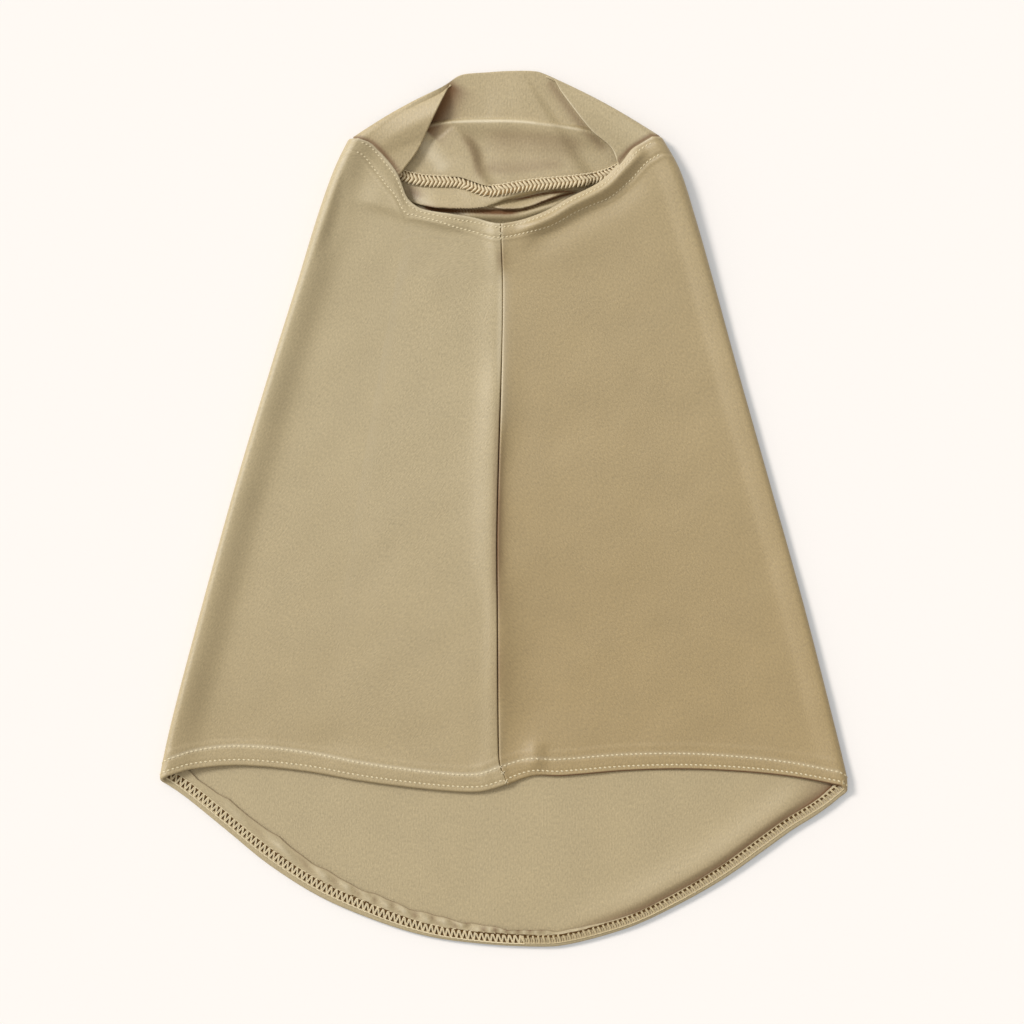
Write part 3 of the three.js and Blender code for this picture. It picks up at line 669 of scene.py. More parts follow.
def knit_group():
    """Fine single jersey. Colour flecks of the yarn, faint ribs along the wales, and cloudy unevenness."""
    group = bpy.data.node_groups.new("jersey_knit", "ShaderNodeTree")
    for name, way, kind in (
            ("Vector", "INPUT", "Vector"), ("Light Colour", "INPUT", "Color"),
            ("Dark Colour", "INPUT", "Color"), ("Fleck", "INPUT", "Float"), ("Colour", "OUTPUT", "Color"),
            ("Height", "OUTPUT", "Float"), ("Roughness", "OUTPUT", "Float")):
        group.interface.new_socket(name=name, in_out=way, socket_type=f"NodeSocket{kind}")
    given = put(group, "NodeGroupInput")
    spot = given.outputs["Vector"]
    fleck = noise(group, spot, 900.0, 3.0, 0.7)
    drawn = put(group, "ShaderNodeMapping", inputs={"Vector": spot, "Scale": (1100.0, 520.0, 1.0)})
    streak = noise(group, drawn.outputs[0], 1.0)
    cloud = noise(group, spot, 38.0)
    wales, courses = [
        put(group, "ShaderNodeTexWave", {"wave_type": "BANDS", "bands_direction": way}, {
            "Vector": spot, "Scale": scale, "Distortion": bend, "Detail": 1.0, "Detail Scale": 2.0})
        for way, scale, bend in (("X", 370.0, 1.2), ("Y", 520.0, 1.0))]
    both = maths(group, "ADD", fleck, streak)
    flecks = maths(group, "MULTIPLY", maths(group, "SUBTRACT", both, 1.0), given.outputs["Fleck"])
    clouds = maths(group, "MULTIPLY_ADD", cloud, 0.3, 0.35)
    share = maths(group, "ADD", clouds, flecks, clamp=True)
    ribs = maths(group, "MULTIPLY", wales.outputs["Fac"], courses.outputs["Fac"])
    put(group, "NodeGroupOutput", inputs={
        "Colour": blend(group, share, given.outputs["Dark Colour"], given.outputs["Light Colour"]),
        "Height": maths(group, "MULTIPLY_ADD", ribs, 0.35, both),
        "Roughness": maths(group, "MULTIPLY_ADD", fleck, 0.14, 0.48)})
    return group


JERSEY_KNIT = knit_group()
CLOTH_LIGHT = (0.548, 0.436, 0.239, 1)
CLOTH_DARK = (0.338, 0.268, 0.145, 1)
AGAINST_GRAIN_PAINTED_SHADE = (0.806, 0.716, 0.547, 1)      # painted shade: the colour where the grain runs the other way and catches less sheen
# Painted shade for the deepest folds and crevices, and painted highlight for the crests of folds
PAINTED_SHADE = (0.135, 0.052, 0.007, 1)
PAINTED_HIGHLIGHT = (0.80, 0.70, 0.50, 1)


def jersey(name, by_object=False):
    """Jersey, with painted sheen and shade: the sheen mark paints the darker colour of cloth whose grain runs
    the other way. The shade mark paints shade deep in a fold where it is above 0, and a highlight on a crest
    where it is below."""
    material, tree = new_material(name)
    if by_object:
        spot = put(tree, "ShaderNodeTexCoord").outputs["Object"]
    else:
        spot = put(tree, "ShaderNodeUVMap").outputs[0]
    knit = put(tree, "ShaderNodeGroup", {"node_tree": JERSEY_KNIT}, {
        "Vector": spot, "Light Colour": CLOTH_LIGHT, "Dark Colour": CLOTH_DARK, "Fleck": 1.1})
    painted_nap_sheen, painted_shade_and_highlight = [
        put(tree, "ShaderNodeAttribute", {"attribute_name": mark}).outputs["Fac"]
        for mark in ("painted_nap_sheen", "painted_shade_and_highlight")]
    change = blend(tree, painted_nap_sheen, (1, 1, 1, 1), AGAINST_GRAIN_PAINTED_SHADE)
    seen = blend(tree, 1.0, knit.outputs["Colour"], change, "MULTIPLY")
    highlighted = blend(tree, maths(tree, "MULTIPLY", painted_shade_and_highlight, -1.0), seen, PAINTED_HIGHLIGHT)
    rise = put(tree, "ShaderNodeBump", inputs={
        "Height": knit.outputs["Height"], "Strength": 0.35, "Distance": 0.00035})
    surfaced(tree, {
        "Base Color": blend(tree, painted_shade_and_highlight, highlighted, PAINTED_SHADE),
        "Roughness": maths(tree, "MAXIMUM", painted_shade_and_highlight, knit.outputs["Roughness"]),
        "Normal": rise.outputs[0], "IOR": 1.75, "Specular IOR Level": 0.5,
        "Sheen Weight": 0.04, "Sheen Roughness": 0.5})
    return material


CAPE_JERSEY = jersey("cape_jersey")
cape.data.materials.append(CAPE_JERSEY)
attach(cape, "root")
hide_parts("cape")


# The neckline's free edge, turned under once and held by two rows of needle stitches. The allowance lies
# inside the front layer, and the pale needle threads show as short beads in two shallow grooves outside.
NECK_ALLOWANCE = 11.5
FLAT_START = 1.6           # where an allowance lies flat again after its fold
FLAT_ROWS = 20
NECK_END = 0.915           # how far round to each side the free edge goes
free_places = FRONT_PLACES[FRONT_PLACES < NECK_END]
neck_around = np.concatenate([free_places[::-1], 6 - free_places])


def turned_under(places, which, allowance, sign):
    """The part of an edge beyond its fold: it turns on round the fold and lies flat inside the cape."""
    height, lean = edge(which, places)
    angle = np.linspace(0, math.pi / 2, 5)[:, None] + 0 * places
    small = HEM_TURN - CLOTH
    flat = FLAT_START + np.linspace(0, 1, FLAT_ROWS)[:, None] * (allowance + 0 * places - FLAT_START)
    offsets = np.concatenate([HEM_TURN - HEM_TURN * np.cos(angle), flat])
    inner_offsets = np.concatenate([HEM_TURN - small * np.cos(angle), flat])
    depth = np.concatenate([HEM_TURN + HEM_TURN * np.sin(angle), 0 * flat + 2 * HEM_TURN])
    inner_depth = np.concatenate([HEM_TURN + small * np.sin(angle), 0 * flat + 2 * HEM_TURN - CLOTH])
    return (on_cape(places, height + sign * offsets * lean, depth),
            on_cape(places, height + sign * inner_offsets * lean, inner_depth), offsets)


outer, inner, _ = turned_under(neck_around, "top", NECK_ALLOWANCE, -1)
neck_hem = lay_grid("neckline_allowance", outer, inner)
neck_hem.data.materials.append(CAPE_JERSEY)
mark(neck_hem, "painted_nap_sheen", np.zeros(outer.shape[:2]))
mark(neck_hem, "painted_shade_and_highlight", np.zeros(outer.shape[:2]))
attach(neck_hem, "root")
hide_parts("neck_hem")

THREAD_PALE = (0.74, 0.64, 0.43, 1)
THREAD_SHADE = (0.56, 0.46, 0.27, 1)
NECK_STITCH = {"length": 1.7, "width": 0.85, "height": 0.6}
NECK_PITCH = 2.45


def thread_material(name, pale=THREAD_PALE, shade=THREAD_SHADE):
    """Spun polyester sewing thread: pale, a little shiny, with darker hollows between its plies."""
    material, tree = new_material(name)
    spot = put(tree, "ShaderNodeTexCoord")
    plies = noise(tree, spot.outputs["Object"], 1900.0, roughness=0.6)
    rise = put(tree, "ShaderNodeBump", inputs={"Height": plies, "Strength": 0.4, "Distance": 0.0001})
    surfaced(tree, {
        "Base Color": blend(tree, plies, shade, pale), "Roughness": 0.6, "Normal": rise.outputs[0],
        "Specular IOR Level": 0.35, "Sheen Weight": 0.1, "Sheen Roughness": 0.4})
    return material


THREAD = thread_material("sewing_thread")


def trail(places, which, distance, depth, pitch):
    """Even steps along a line at a distance from an edge of the cape: points, directions, outward normals."""
    height, lean = edge(which, places)
    sign = -1 if which == "top" else 1
    y = height + sign * distance * lean
    line = on_cape(places, y, depth)
    out = on_cape(places, y, depth - 0.3) - line
    run = np.concatenate([[0], np.cumsum(np.linalg.norm(np.diff(line, axis=0), axis=1))])
    steps = np.arange(pitch / 2, run[-1], pitch)

    def pick(values, at):
        return np.stack([np.interp(at, run, values[:, k]) for k in range(3)], 1)

    along = pick(line, steps + 0.4) - pick(line, steps - 0.4)
    return pick(line, steps), along, pick(out, steps)


def one_stitch(length, width, height):
    """One visible needle stitch: a plump bead of thread that dips into the cloth at both ends."""
    deselect()
    bpy.ops.mesh.primitive_uv_sphere_add(segments=8, ring_count=6, radius=0.5, rotation=(0, math.pi / 2, 0))
    bead = bpy.context.object
    bpy.ops.object.transform_apply(rotation=True)
    bead.data.transform(Matrix.Diagonal((length * MM, width * MM, height * MM, 1)))
    bpy.ops.object.shade_smooth()
    return bead


def sew(name, template, runs, slant=0.0, jitter=0.08):
    """Copies of one stitch set along one or more lines, joined into one piece. Each turns by the slant."""
    chance = np.random.default_rng(1)
    stitches = []
    for points, along, out in runs:
        for point, forward, up in zip(points, along, out):
            up = Vector(up).normalized()
            forward = Vector(forward)
            forward = (forward - up * forward.dot(up)).normalized()
            turned = Matrix.Rotation(slant + chance.normal(0, jitter), 3, up) @ forward
            place = Matrix((turned, up.cross(turned), up)).transposed().to_4x4()
            place.translation = Vector(point) * MM
            stitch = bpy.data.objects.new(name, template.data.copy())
            stitch.data.transform(place)
            bpy.context.collection.objects.link(stitch)
            stitches.append(stitch)
    bpy.data.objects.remove(template)
    row = joined(stitches)
    row.name = row.data.name = name
    return row


def joined(threads):
    deselect()
    for thread in threads:
        thread.select_set(True)
    bpy.context.view_layer.objects.active = threads[0]
    bpy.ops.object.join()
    bpy.ops.object.shade_smooth()
    return bpy.context.object


NECK_LINE = np.concatenate([np.linspace(0.97, 0.004, 160), np.linspace(5.996, 5.03, 160)])
neck_x = flat_x(unwrap(NECK_LINE)[0], 180.0)
runs = [trail(NECK_LINE, "top", row, -0.02, NECK_PITCH) for row in neck_rows(neck_x)]
neck_stitches = sew("neckline_needle_stitches", one_stitch(**NECK_STITCH), runs, slant=0.35)
neck_stitches.data.materials.append(THREAD)
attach(neck_stitches, "root")


# The bottom hem: the edge turned up once all the way round and coverstitched. Outside it shows two rows of
# needle stitches; inside, a looper thread crosses between them in a ladder, over cloth painted dark as shade.
LET_OUT = 3.06             # from here on round the cape the hem was let out, and its ladder is another
TUCK_RISE = 1.9            # height of the small tucks that the stitches gather into the allowance
TUCK_REACH = 2.4
HEM_STITCH = {"length": 1.85, "width": 1.0, "height": 0.7}
HEM_PITCH = 2.75
# Painted shade: the colours of the cloth under the ladder, which lies in the shade of its threads
LADDER_SHADE_DARK = (0.045, 0.021, 0.006, 1)
LADDER_SHADE_LIGHT = (0.19, 0.11, 0.042, 1)

wavering = 0.5 * np.sin(AROUND * 41) + 0.35 * np.sin(AROUND * 87)
outer, inner, offsets = turned_under(
    AROUND, "bottom", cut_edge(AROUND) + wavering * ramp(3.4, 3.0, AROUND), 1)
rail_out, rail_in = [row[None, :] for row in hem_rows(AROUND)]
strip_middle = (rail_in + cut_edge(AROUND)) / 2
tuck_turns = 0.83 * outer[..., 0] + 0.0021 * outer[..., 0] ** 2
tucks = np.sin(tuck_turns + 1.3 * np.sin(outer[..., 0] / 13.0) + 0.3 * offsets)
puckered = ramp(2.05, 2.4, AROUND) * ramp(3.35, 3.1, AROUND) * bump(offsets - strip_middle, TUCK_REACH)
gathers = tucks.clip(0) ** 1.5 * puckered
outer[..., 2] += TUCK_RISE * gathers
inner[..., 2] += TUCK_RISE * gathers
hem = lay_grid("hem_allowance", outer, inner)
# Painted sheen and shade: the sheen mark is a little darker all over. Painted shade darkens the raw edge, the
# cloth beside the tucks and between the rungs of the let-out ladder; painted highlight pales the tucks' tops.
mark(hem, "painted_nap_sheen", np.full(outer.shape[:2], 0.1))
raw_edge = np.zeros(outer.shape[:2])
raw_edge[-1] = 0.65
beside_tucks = (-tucks).clip(0) ** 2 * puckered * (0.6 + 0.6 * ramp(2.55, 2.85, AROUND))
between_rungs = (offsets > rail_out + 0.3) & (offsets < rail_in - 1.5) & (AROUND > LET_OUT)
mark(hem, "painted_shade_and_highlight", raw_edge + 0.6 * beside_tucks - 0.3 * gathers + 0.3 * between_rungs)


def stitch_shadow(name, dark, light):
    """Painted shade: a dark matte colour for the cloth between the threads of a dense row of stitches, which
    lies in their shade.
    """
    material, tree = new_material(name)
    spot = put(tree, "ShaderNodeUVMap")
    colour = blend(tree, noise(tree, spot.outputs[0], 700.0), dark, light)
    surfaced(tree, {"Base Color": colour, "Roughness": 1.0, "Specular IOR Level": 0.0})
    return material


def shade_under(piece, material, shaded):
    """Gives a second material to the faces of a laid grid where most of their points are shaded."""
    piece.data.materials.append(material)
    chosen = both_faces(shaded)[corner_points(piece)].reshape(-1, 4).mean(1) > 0.5
    piece.data.polygons.foreach_set("material_index", chosen.astype(int))


hem.data.materials.append(CAPE_JERSEY)
ladder_shade_from = np.where(AROUND < LET_OUT, rail_out + 0.2, rail_in - 1.5)
shade_under(hem, stitch_shadow("ladder_shade", LADDER_SHADE_DARK, LADDER_SHADE_LIGHT),
            (offsets > ladder_shade_from) & (offsets < rail_in + 0.2))
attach(hem, "root")
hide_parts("hem")

HEM_LINE = np.concatenate([
    np.linspace(0.004, 1, 300), np.linspace(1, 2, 30)[1:], np.linspace(2, 4, 500)[1:],
    np.linspace(4, 5, 30)[1:], np.linspace(5, 5.996, 300)[1:]])
runs = [trail(HEM_LINE, "bottom", row, -0.05, HEM_PITCH) for row in hem_rows(HEM_LINE)]
hem_stitches = sew("hem_needle_stitches", one_stitch(**HEM_STITCH), runs, slant=-0.3)
hem_stitches.data.materials.append(THREAD)
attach(hem_stitches, "root")


def thread_along(points, radius, plump=(1, 1, 1, 1, 1)):
    """A round thread through a few points in millimetres, as a mesh, thicker and thinner by plump."""
    deselect()
    bpy.ops.curve.primitive_nurbs_path_add()
    thread = bpy.context.object
    thread.data.splines.clear()
    spline = thread.data.splines.new("POLY")
    spline.points.add(len(points) - 1)
    for spot, point, share in zip(spline.points, points, plump):
        spot.co = (point[0] * MM, point[1] * MM, point[2] * MM, 1)
        spot.radius = share
    thread.data.bevel_depth = radius * MM
    thread.data.bevel_resolution = 0
    thread.data.use_fill_caps = True
    bpy.ops.object.convert(target="MESH")
    return bpy.context.object


# One period of the ladder lies between the needle rows, half a width to each side of its middle. The looper's
# chain runs along the outer row, and a thinner thread along the inner one. Each rung is two threads.
RUNG_TWIN = 0.28           # how far each of the two lies from the rung's middle


def chain_and_rail(half, chain, rail):
    return [
        thread_along([(-1.65, -half, 0.3), (-0.8, -half - 0.15, 0.5), (0.8, -half - 0.15, 0.5),
                      (1.65, -half, 0.3)], chain),
        thread_along([(-1.65, half, 0.0), (0.0, half + 0.1, 0.3), (1.65, half, 0.0)], rail)]


def zigzag(half):
    """A square rung and a slanting one."""
    threads = []
    for twin in (-RUNG_TWIN, RUNG_TWIN):
        threads.append(thread_along([
            (-1.6 + twin, -half, 0.15), (-1.45 + twin, -half * 0.5, 0.42), (-1.2 + twin, half * 0.5, 0.42),
            (-1.0 + twin, half, 0.15)], 0.27))
        threads.append(thread_along([
            (-1.0 + twin, half, 0.1), (-0.2 + twin, half * 0.4, 0.38), (0.9 + twin, -half * 0.5, 0.38),
            (1.65 + twin, -half, 0.1)], 0.25))
    return joined(threads + chain_and_rail(half, 0.38, 0.24))


def square(half):
    """A square rung only, with one loose thread beside it."""
    threads = []
    for twin in (-RUNG_TWIN, RUNG_TWIN):
        threads.append(thread_along([
            (0.5 + twin, -half, 0.2), (0.3 + twin, -half * 0.3, 0.45), (-0.25 + twin, half * 0.5, 0.45),
            (-0.45 + twin, half, 0.1)], 0.33))
    threads.append(thread_along(
        [(-1.2, -half, 0.1), (-0.9, -half * 0.2, 0.35), (-1.1, half * 0.2, 0.2)], 0.26))
    return joined(threads + chain_and_rail(half, 0.28, 0.17))


LADDER_SINK = 0.6          # how far the ladder on the front is pressed into its cloth
LADDERS = (
    {"places": HEM_LINE[HEM_LINE <= LET_OUT], "period": zigzag, "width": 5.1, "pitch": 3.25,
     "pale": (0.86, 0.74, 0.50, 1), "shade": (0.56, 0.45, 0.26, 1)},
    {"places": HEM_LINE[HEM_LINE > LET_OUT - 0.01], "period": square, "width": 4.4, "pitch": 2.95,
     "pale": (0.70, 0.58, 0.36, 1), "shade": (0.44, 0.34, 0.17, 1)},
)
lengths = []
for part in LADDERS:
    places = part["places"]
    depth = 2 * HEM_TURN - LADDER_SINK * (ramp(1.6, 1.0, places) + ramp(4.4, 5.0, places))
    points, along, out = trail(places, "bottom", sum(hem_rows(places)) / 2, depth, part["pitch"])
    length = sew("hem_looper_ladder", part["period"](part["width"] / 2), [(points, along, -out)], jitter=0.03)
    length.data.materials.append(thread_material("looper_thread", part["pale"], part["shade"]))
    lengths.append(length)
ladder = joined(lengths)
ladder.name = ladder.data.name = "hem_looper_ladder"
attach(ladder, "root")


# The centre front seam: both edges turned inside, overlocked together and pressed to the left.
# Outside it is only the groove where the edges meet; the allowance lies under the left front.
SEAM_WIDTH = 6.0
SEAM_UNDER = 1.5           # its depth below the front's outer face
SEAM_CLOTH = 1.2           # its two layers, pressed
SEAM_BELOW_NECK = 12.2
SEAM_ABOVE_HEM = 17.4

neck_y, hem_y = [float(edge(which, np.array(0.0))[0]) for which in ("top", "bottom")]
seam_y = np.linspace(neck_y - SEAM_BELOW_NECK, hem_y + SEAM_ABOVE_HEM, 130)
from_groove = np.linspace(0.3, SEAM_WIDTH, 7)[:, None]
strip_x = seam_x(seam_y)[None, :] - from_groove
strip_a = np.broadcast_to(np.clip(from_groove / 120, 0, 1), strip_x.shape)
strip_y = np.broadcast_to(seam_y, strip_x.shape)
outer = np.stack([strip_x, strip_y, front_height(strip_x, strip_y, strip_a) - SEAM_UNDER], -1)
inner = outer - (0, 0, SEAM_CLOTH)
front_seam = lay_grid("front_seam_overlock", outer, inner)
mark(front_seam, "painted_nap_sheen", np.zeros(outer.shape[:2]))
# Painted shade: the whole allowance is darkened, as it lies in shade under the left front
mark(front_seam, "painted_shade_and_highlight", np.full(outer.shape[:2], 0.9))
front_seam.data.materials.append(CAPE_JERSEY)
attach(front_seam, "root")
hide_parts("front_seam")


# Where the rows of needle stitches cross the front seam, their threads pile up in small crosses: two at the
# neckline and three at the hem, of the same pale sewing thread.
cross_y = np.array((157.4, 154.6, -148.0, -151.4, -156.4))
cross_x = seam_x(cross_y)
cross_points = np.column_stack([
    cross_x, cross_y, front_height(cross_x, cross_y, np.zeros(len(cross_y))) - 0.1])
cross = joined([
    thread_along([(-1.2, -1.1, -0.2), (-0.6, -0.6, 0.2), (0.6, 0.6, 0.25), (1.2, 1.1, -0.2)], 0.22),
    thread_along([(-1.2, 1.1, -0.2), (-0.6, 0.6, 0.25), (0.6, -0.6, 0.35), (1.2, -1.1, -0.2)], 0.22)])
across_seam = np.tile((1.0, 0.15, 0.0), (len(cross_y), 1))
upward = np.tile((0.0, 0.0, 1.0), (len(cross_y), 1))
crosses = sew("seam_cross_stitches", cross, [(cross_points, across_seam, upward)], jitter=0.15)
crosses.data.materials.append(THREAD)
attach(crosses, "root")


# The crown band: one strip of the same jersey folded in half lengthwise. It is sewn to the back of the neck
# and tucked under the front neckline on each side; its folded edge frames the face. It lies turned over at
# both sides of the crown.
BAND_CLOTH = 1.8             # both layers
BAND_TUCK = 7.0              # how far it reaches under the neckline
BAND_UNDER = 2.5             # and how deep under the front's outer face
BAND_LIFT = 0.44             # how high the back of the band lies off the floor
FACE_EDGES = {               # left and right
    -1: ((-63.9, 184.3), (-57.0, 194.1), (-49.0, 205.0), (-41.8, 219.9), (-31.2, 241.6)),
    1: ((66.8, 190.5), (62.2, 205.6), (49.6, 217.0), (32.4, 239.4), (28.4, 246.2)),
}
FACE_LIFT = {                # how far they stand up, by the share of the way from the neck to the crown
    "share": (0, 0.45, 0.58, 0.72, 0.86, 1),
    -1: (0, 1.4, 3.8, 5.6, 3.8, 0),
    1: (0, 2.4, 3.0, 2.8, 1.6, 0),
}
CROWN_EDGE = (
    (-30.3, 243.8), (-27.4, 247.0), (-23.5, 248.7), (-19.0, 249.4), (-10.0, 250.0), (3.2, 250.8),
    (18.6, 250.6), (24.9, 248.6),
)
CORNERS = {-1: (-86.2, 212.6), 1: (89.6, 213.2)}
FOLD_RADII = (4.6, 1.5)      # of the side folds, at the neck and at the crown
SIDE_BOW = 1.6               # how far the side folds bow outwards between neck and crown
BAND_SHADES = (              # where painted shade darkens the inside of the band in a fold, and painted highlight pales the crest of one
    (-0.62, 1.0, 0.7, 0.1, ((-58, 214), (-40, 219.7), (-22, 221.6), (6.6, 221.6), (22, 220.2))),
    (-0.34, 1.1, 0.9, 0.15, ((8, 221.6), (25, 219.8), (43.9, 217), (60, 213))),
    (0.3, 6.5, 3.0, 0.2, ((-12, 198), (-4, 194), (20, 195.5), (40, 198))),
    (-0.3, 5.0, 4.0, 0.2, ((-47, 212), (-44, 206), (-38, 199), (-33, 191))),
    (0.42, 4.5, 2.0, 0.25, ((-27, 216), (-20, 208.6), (-16.4, 201), (-14.6, 193), (-9.5, 186))),
    (0.3, 4.0, 11.0, 0.2, ((-16, 214), (10, 213), (30, 211), (50, 207))),
    (0.95, 2.0, 9.0, 0.12, ((-46, 216), (-41.8, 221), (-36, 231), (-28, 247))),
    (0.4, 1.5, 3.0, 0.12, ((26, 246), (31, 238.5), (47.5, 217), (60.5, 204))),
)
BAND_RIDGES = (
    (3.1, 1.1, 8.0, 0.17, ((-70, 210), (-58, 214), (-40, 219.7), (-22, 221.6), (6.6, 221.6), (43.9, 217),
     (62, 212))),
    (-0.3, 6.0, 6.0, 0.3, ((-7.7, 199.8), (20, 201), (55, 201))),
    (3.1, 3.6, 15.0, 0.03, ((-29, 219.4), (-25, 214), (-19.2, 205.6), (-16.5, 196), (-11.8, 186.6),
     (-9, 180))),
    (3.6, 7.0, 16.0, 0.2, ((-30, 246), (-44, 234), (-62, 220), (-80, 206))),
)


def spread(points, shares):
    """Points on a smooth line through the given ones, at shares of the way along it."""
    points = np.array(points, float)
    run = np.concatenate([[0], np.cumsum(np.linalg.norm(np.diff(points, axis=0), axis=1))])
    places = np.asarray(shares) * run[-1]
    return np.stack([smooth(run, points[:, k], places) for k in range(points.shape[1])], 1)


def s_of(x, y):
    """The place across the cape, -1 to 1, that x is at."""
    left, right = flat_x(-1, y), flat_x(1, y)
    return (2 * x - left - right) / (right - left)


def side_fold(hand, angles):
    """Low and high ends of the band where it turns over at one side, with the direction into the cloth."""
    corner = np.array(CORNERS[hand])
    peak = np.array(CROWN_EDGE[0 if hand < 0 else -1])
    along = (peak - corner) / np.linalg.norm(peak - corner)
    outward = np.array([hand * along[1], -hand * along[0]])
    ends = []
    for end, radius in zip((corner, peak), FOLD_RADII):
        flat = end - outward * radius + np.outer(np.cos(angles), outward * radius)
        ends.append(np.column_stack([flat, radius + radius * np.sin(angles)]))
    into = -np.column_stack([np.outer(np.cos(angles), outward), np.sin(angles)])
    return ends[0], ends[1], into


def lapel(hand, count=26):
    """Low and high ends of the band on one side of the front, from the face to the side fold."""
    face = FACE_EDGES[hand]
    fold_low, fold_high, _ = side_fold(hand, np.array([math.pi / 2]))
    lows = []
    for s in np.linspace(s_of(*face[0]), hand * 0.86, 6):
        a = -s if s < 0 else 6 - s
        y = float(edge("top", np.array(a))[0]) - BAND_TUCK
        x = float(front_x(s, hand, y))
        lows.append((x, y, float(front_height(np.array(x), np.array(y), np.array(a))) - BAND_UNDER))
    shares = np.linspace(0, 1, count, endpoint=False)
    low = spread([*lows, fold_low[0]], shares)
    highs = spread([*face, fold_high[0][:2]], shares)
    rise = low[0, 2] + (2 * FOLD_RADII[1] - low[0, 2]) * shares ** 2
    rise = rise + smooth(FACE_LIFT["share"], FACE_LIFT[hand], shares)
    return low, np.column_stack([highs, rise]), np.tile((0.0, 0.0, -1.0), (count, 1))


def band_back(count=90):
    """The same for the back of the band, whose lower edge follows the back of the cape."""
    shares = np.linspace(0, 1, count + 2)[1:-1]
    s = 2 * shares - 1
    y = edge("top", s + 3)[0] - 0.3
    x = flat_x(s, y)
    low = np.column_stack([x, y, back_height(x, y, s + 3) + 0.1])
    high = np.column_stack([spread(CROWN_EDGE, shares), np.full(count, BAND_LIFT)])
    return low, high, np.tile((0.0, 0.0, 1.0), (count, 1))


fold_turn = np.linspace(math.pi / 2, -math.pi / 2, 13)
parts = [
    lapel(-1), side_fold(-1, fold_turn), band_back(), side_fold(1, fold_turn[::-1]),
    [values[::-1] for values in lapel(1)]]
low_ends, high_ends, into_cloth = [np.concatenate([part[k] for part in parts]) for k in range(3)]

# The outward bow fades away from each side fold, over the lapel and over the back
mid_way = (low_ends[:, 0] + high_ends[:, 0]) / 2
from_fold = np.where(mid_way < 0, mid_way + 58, 58 - mid_way)
side_bow = SIDE_BOW * bump(np.maximum(from_fold, 0), 16)
bow_way = np.stack([0.5 * np.sign(mid_way), np.full(len(mid_way), 0.87)], 1)


def band_face(depths_flat, depths_turn, inset_turn):
    """One face of the folded strip: up its outside, round the folded edge, and down its inside. Where the
    strip is shorter than the turn of its fold, at the face's lower corner, gone is below 0."""
    up = np.linspace(0, 1, 84)
    reach = np.linalg.norm(high_ends - low_ends, axis=1)[:, None]
    direction = (high_ends - low_ends) / reach
    rows = [((reach - BAND_CLOTH / 2) * v, depths_flat[0]) for v in up]
    rows += [(reach - inset, depth) for depth, inset in zip(depths_turn, inset_turn)]
    rows += [((reach - BAND_CLOTH / 2) * v, depths_flat[1]) for v in up[::-1]]
    faces = []
    for gone, depth in rows:
        point = low_ends + direction * gone + into_cloth * depth
        back = np.clip(into_cloth[:, 2], 0, 1) ** 3
        point[:, 2] += back * relief(BAND_RIDGES, point[:, 0], point[:, 1])
        point[:, 2] += ripple(point[:, 0], point[:, 1], 21, 30, 0.1) * np.abs(into_cloth[:, 2])
        share = np.abs(gone / reach)[:, 0]
        point[:, :2] += (side_bow * np.sin(math.pi * share))[:, None] * bow_way
        faces.append(point)
    return np.array(faces)


angles = np.linspace(0, math.pi, 9)[1:-1]
full, tight = BAND_CLOTH / 2, BAND_CLOTH / 2 - CLOTH
outer = band_face((0, BAND_CLOTH), full - full * np.cos(angles), full - full * np.sin(angles))
inner = band_face((CLOTH, BAND_CLOTH - CLOTH), full - tight * np.cos(angles), full - tight * np.sin(angles))
band = lay_grid("crown_band_cloth", outer, inner)

# Painted shade darkens it along the neckline that the lapels come out of, and painted highlight pales the
# right lapel's rim. The sheen mark paints the left lapel darker than the right one, and the back between
# them.
on_lapel = 1 - ramp(-0.5, 0.5, into_cloth[:, 2])
band_painted_sheen = 0.2 * (1 - on_lapel) + on_lapel * np.where(low_ends[:, 0] < 0, 0.35, 0.0)
mark(band, "painted_nap_sheen", np.broadcast_to(band_painted_sheen, outer.shape[:2]))
band_shade = np.clip(into_cloth[:, 2], 0, 1) * relief(BAND_SHADES, outer[..., 0], outer[..., 1])
half_way = outer.shape[0] // 2
band_shade[:half_way] = 0
at_rim = bump(np.arange(outer.shape[0]) - half_way, 3.6)[:, None]
s_there = s_of(outer[..., 0], outer[..., 1])
a_there = np.where(s_there < 0, -s_there, 6 - s_there)
from_neckline = edge_distances(a_there.clip(0, 6), outer[..., 1])[0]
band_shade += 0.8 * bump(from_neckline + 0.5, 1.1) * on_lapel
band_shade -= 0.75 * at_rim * on_lapel * (low_ends[:, 0] > 0) * ramp(243, 234, outer[..., 1])
mark(band, "painted_shade_and_highlight", band_shade)
band.data.materials.append(jersey("band_jersey", by_object=True))
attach(band, "root")
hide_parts("crown_band")
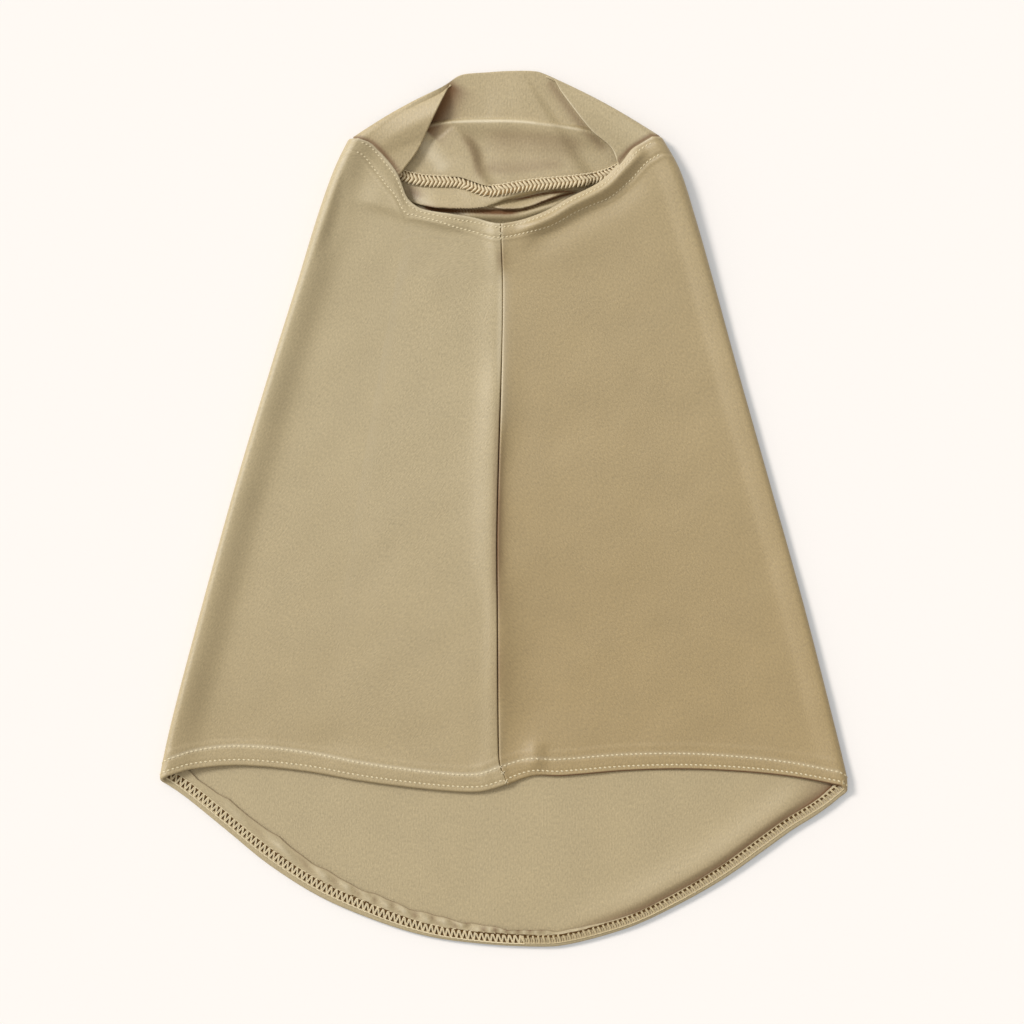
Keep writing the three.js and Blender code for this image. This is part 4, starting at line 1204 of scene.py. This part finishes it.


# The back-neck seam: band and cape overlocked together, the allowance lying down on the cape.
# Its two rows of pale slanting loops make a braid of arrowheads, over a strip painted dark as the shade in
# its gaps.
NECK_SEAM_WIDTH = 5.3
NECK_SEAM_BED = CLOTH + 1.2  # how high the allowance stands above the underside of the cape's back
NECK_SEAM_CROWN = 0.5        # and how much higher its middle does
# Painted shade: the colours of the strip under the braid's loops
BRAID_SHADE_DARK = (0.13, 0.07, 0.025, 1)
BRAID_SHADE_LIGHT = (0.36, 0.24, 0.11, 1)
OVERLOCK_PALE = (0.80, 0.68, 0.45, 1)
OVERLOCK_SHADE = (0.55, 0.43, 0.25, 1)

strip_places = np.linspace(2.16, 3.84, 120)
strip_top, strip_lean = edge("top", strip_places)
across = np.linspace(0, 1, 9)[:, None]
strip_y = strip_top - 0.1 - NECK_SEAM_WIDTH * strip_lean * across
outer = on_cape(strip_places, strip_y, NECK_SEAM_BED + NECK_SEAM_CROWN * np.sin(across * math.pi))
inner = on_cape(strip_places, strip_y, CLOTH + 0.15)
neck_seam = lay_grid("neck_seam_overlock", outer, inner)
mark(neck_seam, "painted_nap_sheen", np.zeros(outer.shape[:2]))
mark(neck_seam, "painted_shade_and_highlight", np.zeros(outer.shape[:2]))
neck_seam.data.materials.append(CAPE_JERSEY)
shade_under(neck_seam, stitch_shadow("braid_shade", BRAID_SHADE_DARK, BRAID_SHADE_LIGHT), np.ones(outer.shape[:2]))
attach(neck_seam, "root")
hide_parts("neck_seam")

LOOP_PITCH = 2.32
LOOP_TAPER = (0.45, 0.75, 1.05, 1.22, 1.2)  # thin at the edge and plump at the middle
BRAID_MIDDLE = 3.1           # its middle line's distance from the back neck's edge
loops = [
    thread_along([(-1.35, 3.3, -0.1), (-1.0, 2.7, 0.4), (-0.3, 1.7, 0.5), (0.5, 0.75, 0.5), (1.0, 0.0, 0.3)],
                 0.74, LOOP_TAPER),
    thread_along([(1.0, 0.1, 0.25), (0.6, -0.75, 0.5), (0.0, -1.7, 0.5), (-0.6, -2.6, 0.42),
                  (-1.1, -3.3, -0.1)], 0.72, LOOP_TAPER[::-1]),
    thread_along([(-1.2, 3.2, 0.35), (-0.5, 3.55, 0.5), (0.3, 3.5, 0.5), (0.9, 3.1, 0.3)], 0.4),
]
points, along, out = trail(strip_places, "top", BRAID_MIDDLE, NECK_SEAM_BED, LOOP_PITCH)
braid = sew("neck_seam_thread", joined(loops), [(points, along, -out)], jitter=0.09)
braid.data.materials.append(thread_material("overlock_thread", OVERLOCK_PALE, OVERLOCK_SHADE))
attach(braid, "root")
